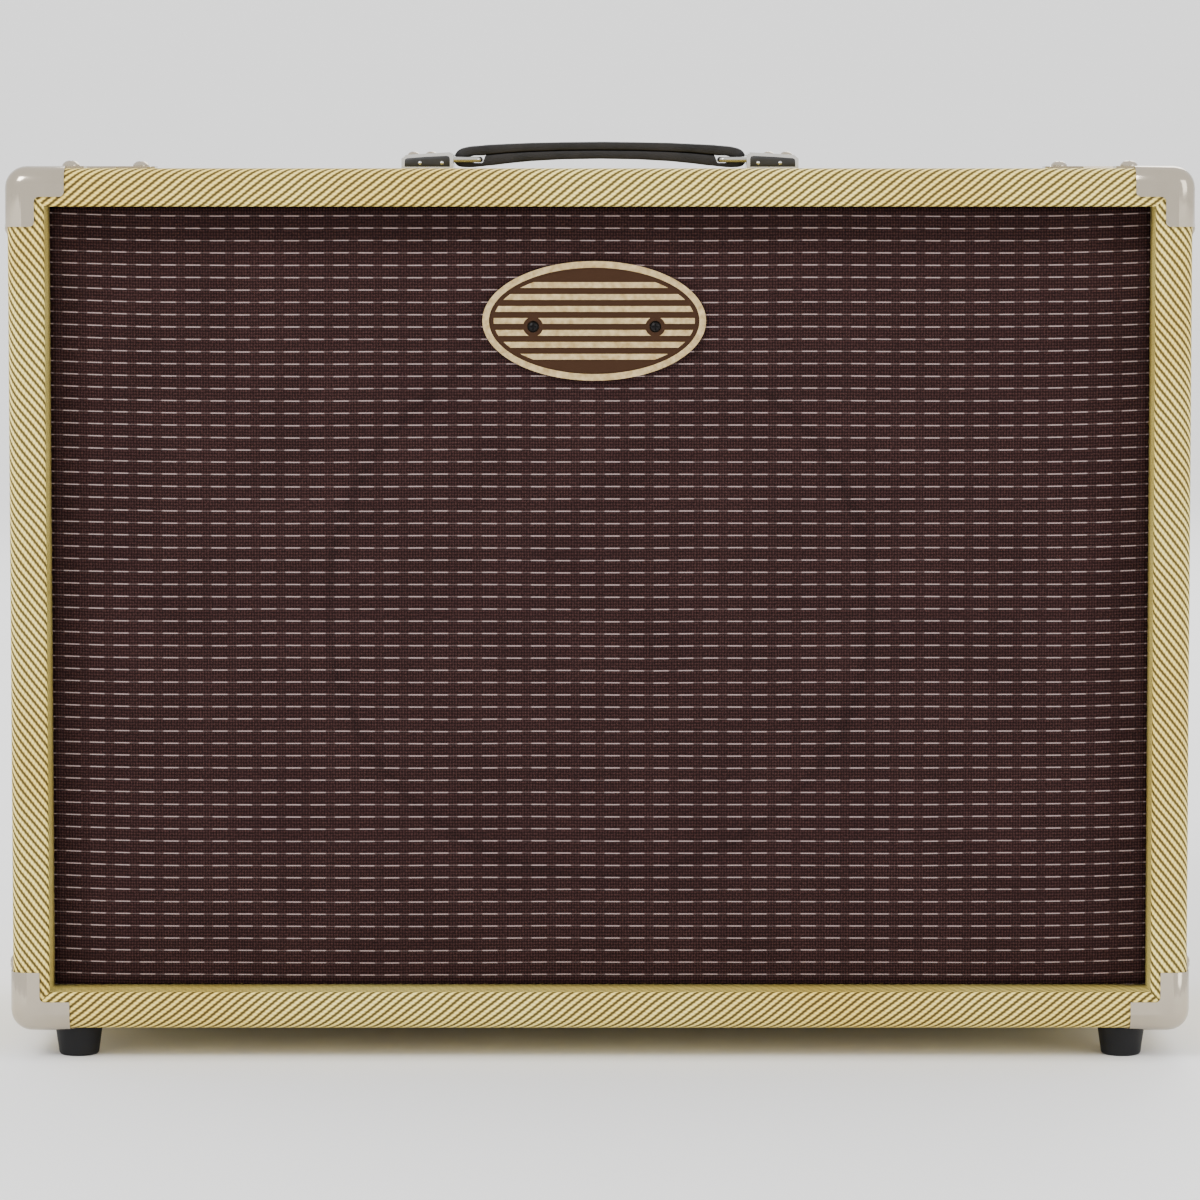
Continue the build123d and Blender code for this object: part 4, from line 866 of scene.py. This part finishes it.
numbers = bmesh.new()
for x in knob_places.values():
    for number in range(0, 11, 2):
        angle = sweep_start + sweep_step * number
        across = x - number_radius * np.cos(angle)
        up = control_height + number_radius * np.sin(angle)
        flat = dial_number(str(number), across, up)
        numbers.from_mesh(flat)
        bpy.data.meshes.remove(flat)
number_mesh = bpy.data.meshes.new("dial_numbers")
numbers.to_mesh(number_mesh)
numbers.free()
dial_numbers = bpy.data.objects.new("dial_numbers", number_mesh)
bpy.context.scene.collection.objects.link(dial_numbers)
number_mesh.materials.append(panel_ink)
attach(dial_numbers, "cabinet")

knob_top = panel_y + 0.0170
pointer = np.radians(150.0)
for name, x in knob_places.items():
    ray = np.array([np.sin(pointer), 0.0, np.cos(pointer)])
    centre = np.array([x, knob_top, control_height])
    line = bead(centre + 0.0045 * ray, centre + 0.0128 * ray, 0.00055, 0.0001, (0, 1, 0), 4, 10)
    make_piece(f"{name}_pointer", [line], f"{name}_control", "knob_black", pointer_paint)

# ---- Inside the valves -------------------------------------------------------------------------


def valve_inside(x, y, radius, length):
    """A pleated anode sleeve between two mica discs, hung from its base.

    The sleeve's radius is 0.56 R * (1 + 0.16 * cos(2 t) + 0.04 * cos(12 t)), at every height.
    """
    angle = np.linspace(0, 2 * np.pi, 72, endpoint=False)[None, :]
    top = valve_base - 0.010
    bottom = valve_base - length + radius + 0.006
    height = np.array([top, top, bottom, bottom])[:, None]
    share = np.array([0.02, 1.0, 1.0, 0.02])[:, None]
    ring = 0.56 * radius * share * (1 + 0.16 * np.cos(2 * angle) + 0.04 * np.cos(12 * angle))
    z = np.broadcast_to(height, ring.shape)
    sleeve = grid_surface(
        np.stack([x + ring * np.cos(angle), y + ring * np.sin(angle), z], axis=-1), wrap=True
    )
    discs = [
        turned(
            [(0.0, level), (0.86 * radius, level), (0.86 * radius, level + 0.0005), (0.0, level + 0.0005)],
            (x, y, 0.0),
            (0, 0, 1),
            32,
        )
        for level in (top + 0.0008, bottom - 0.0012)
    ]
    return [sleeve] + discs


valve_parts = [surface for place in valve_places for surface in valve_inside(*place)]
make_piece("valve_anodes", valve_parts, "cabinet", "pot_steel", plate_nickel, smooth=False)

# ---- Speaker lead ------------------------------------------------------------------------------

lead_diameter = 0.0052
lead_route = [
    (-0.1120, 0.0580, 0.3822),
    (-0.1120, 0.0580, 0.3542),
    (-0.1040, 0.0460, 0.3262),
    (-0.0840, 0.0240, 0.3102),
    (-0.0587, 0.0100, 0.2937),
    (-0.0587, -0.0137, 0.2937),
]
lead_line = bpy.data.curves.new("speaker_lead_cord", "CURVE")
lead_line.dimensions = "3D"
lead_line.bevel_depth = lead_diameter / 2
lead_line.bevel_resolution = 4
lead_line.resolution_u = 12
lead_line.use_fill_caps = True
lead_spline = lead_line.splines.new("NURBS")
lead_spline.points.add(len(lead_route) - 1)
for point, spot in zip(lead_spline.points, lead_route):
    point.co = (*spot, 1.0)
lead_spline.order_u = 3
lead_spline.use_endpoint_u = True
lead = bpy.data.objects.new("speaker_lead_cord", lead_line)
bpy.context.scene.collection.objects.link(lead)
lead_line.materials.append(finishes["lead_jacket"])
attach(lead, "cabinet")
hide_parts("speaker_lead")

# ---- Softened edges on the metal ---------------------------------------------------------------

for name, width in (
    ("front_corner_protectors", 0.00028),
    ("rear_corner_protectors", 0.00028),
    ("handle_cap_left", 0.0007),
    ("handle_cap_right", 0.0007),
    ("control_panel", 0.0003),
    ("badge_plate", 0.0003),
):
    node = frame["nodes"][name]
    weld = node.modifiers.new("weld", "WELD")
    weld.merge_threshold = 0.000005
    soften = node.modifiers.new("soften", "BEVEL")
    soften.width = width
    soften.segments = 2
    soften.limit_method = "ANGLE"
    soften.angle_limit = np.radians(32)
    soften.harden_normals = True

# ---- Floor and light ---------------------------------------------------------------------------


def studio_floor():
    """A wide pale floor that curves up behind: depth and height follow a quarter circle of 2 m."""
    bend = np.linspace(0, np.pi / 2, 24)
    depth = np.concatenate([[-8.0], 4.0 + 2.0 * np.sin(bend), [6.0]])
    height = np.concatenate([[0.0], 2.0 - 2.0 * np.cos(bend), [7.0]])
    x = np.broadcast_to(np.array([-9.0, 9.0])[None, :], (len(depth), 2))
    y = np.broadcast_to(depth[:, None], x.shape)
    z = np.broadcast_to(height[:, None], x.shape)
    points, quads, _ = grid_surface(np.stack([x, y, z], axis=-1))
    mesh = bpy.data.meshes.new("floor")
    mesh.from_pydata(points.tolist(), [], quads.tolist())
    floor = bpy.data.objects.new("floor", mesh)
    bpy.context.scene.collection.objects.link(floor)
    paint = Finish("floor_paint", (0.94, 0.94, 0.94, 1.0), 0.9)
    mesh.materials.append(paint.material)


studio_floor()

world = bpy.data.worlds.new("studio")
world.use_nodes = True
backdrop = world.node_tree.nodes["Background"]
backdrop.inputs["Color"].default_value = (1.0, 1.0, 1.0, 1.0)
backdrop.inputs["Strength"].default_value = 1.55
bpy.context.scene.world = world

middle = Vector((0.0, 0.0, body_middle))
for name, spot, size, power in (
    ("key_light", (-1.7, -2.6, 2.6), 1.2, 95.0),
    ("fill_light", (2.4, -2.2, 1.2), 1.6, 28.0),
    ("rear_light", (0.8, 3.0, 2.4), 1.8, 60.0),
):
    lamp = bpy.data.lights.new(name, "AREA")
    lamp.shape = "SQUARE"
    lamp.size = size
    lamp.energy = power
    holder = bpy.data.objects.new(name, lamp)
    holder.location = spot
    holder.rotation_euler = (middle - Vector(spot)).to_track_quat("-Z", "Y").to_euler()
    bpy.context.scene.collection.objects.link(holder)
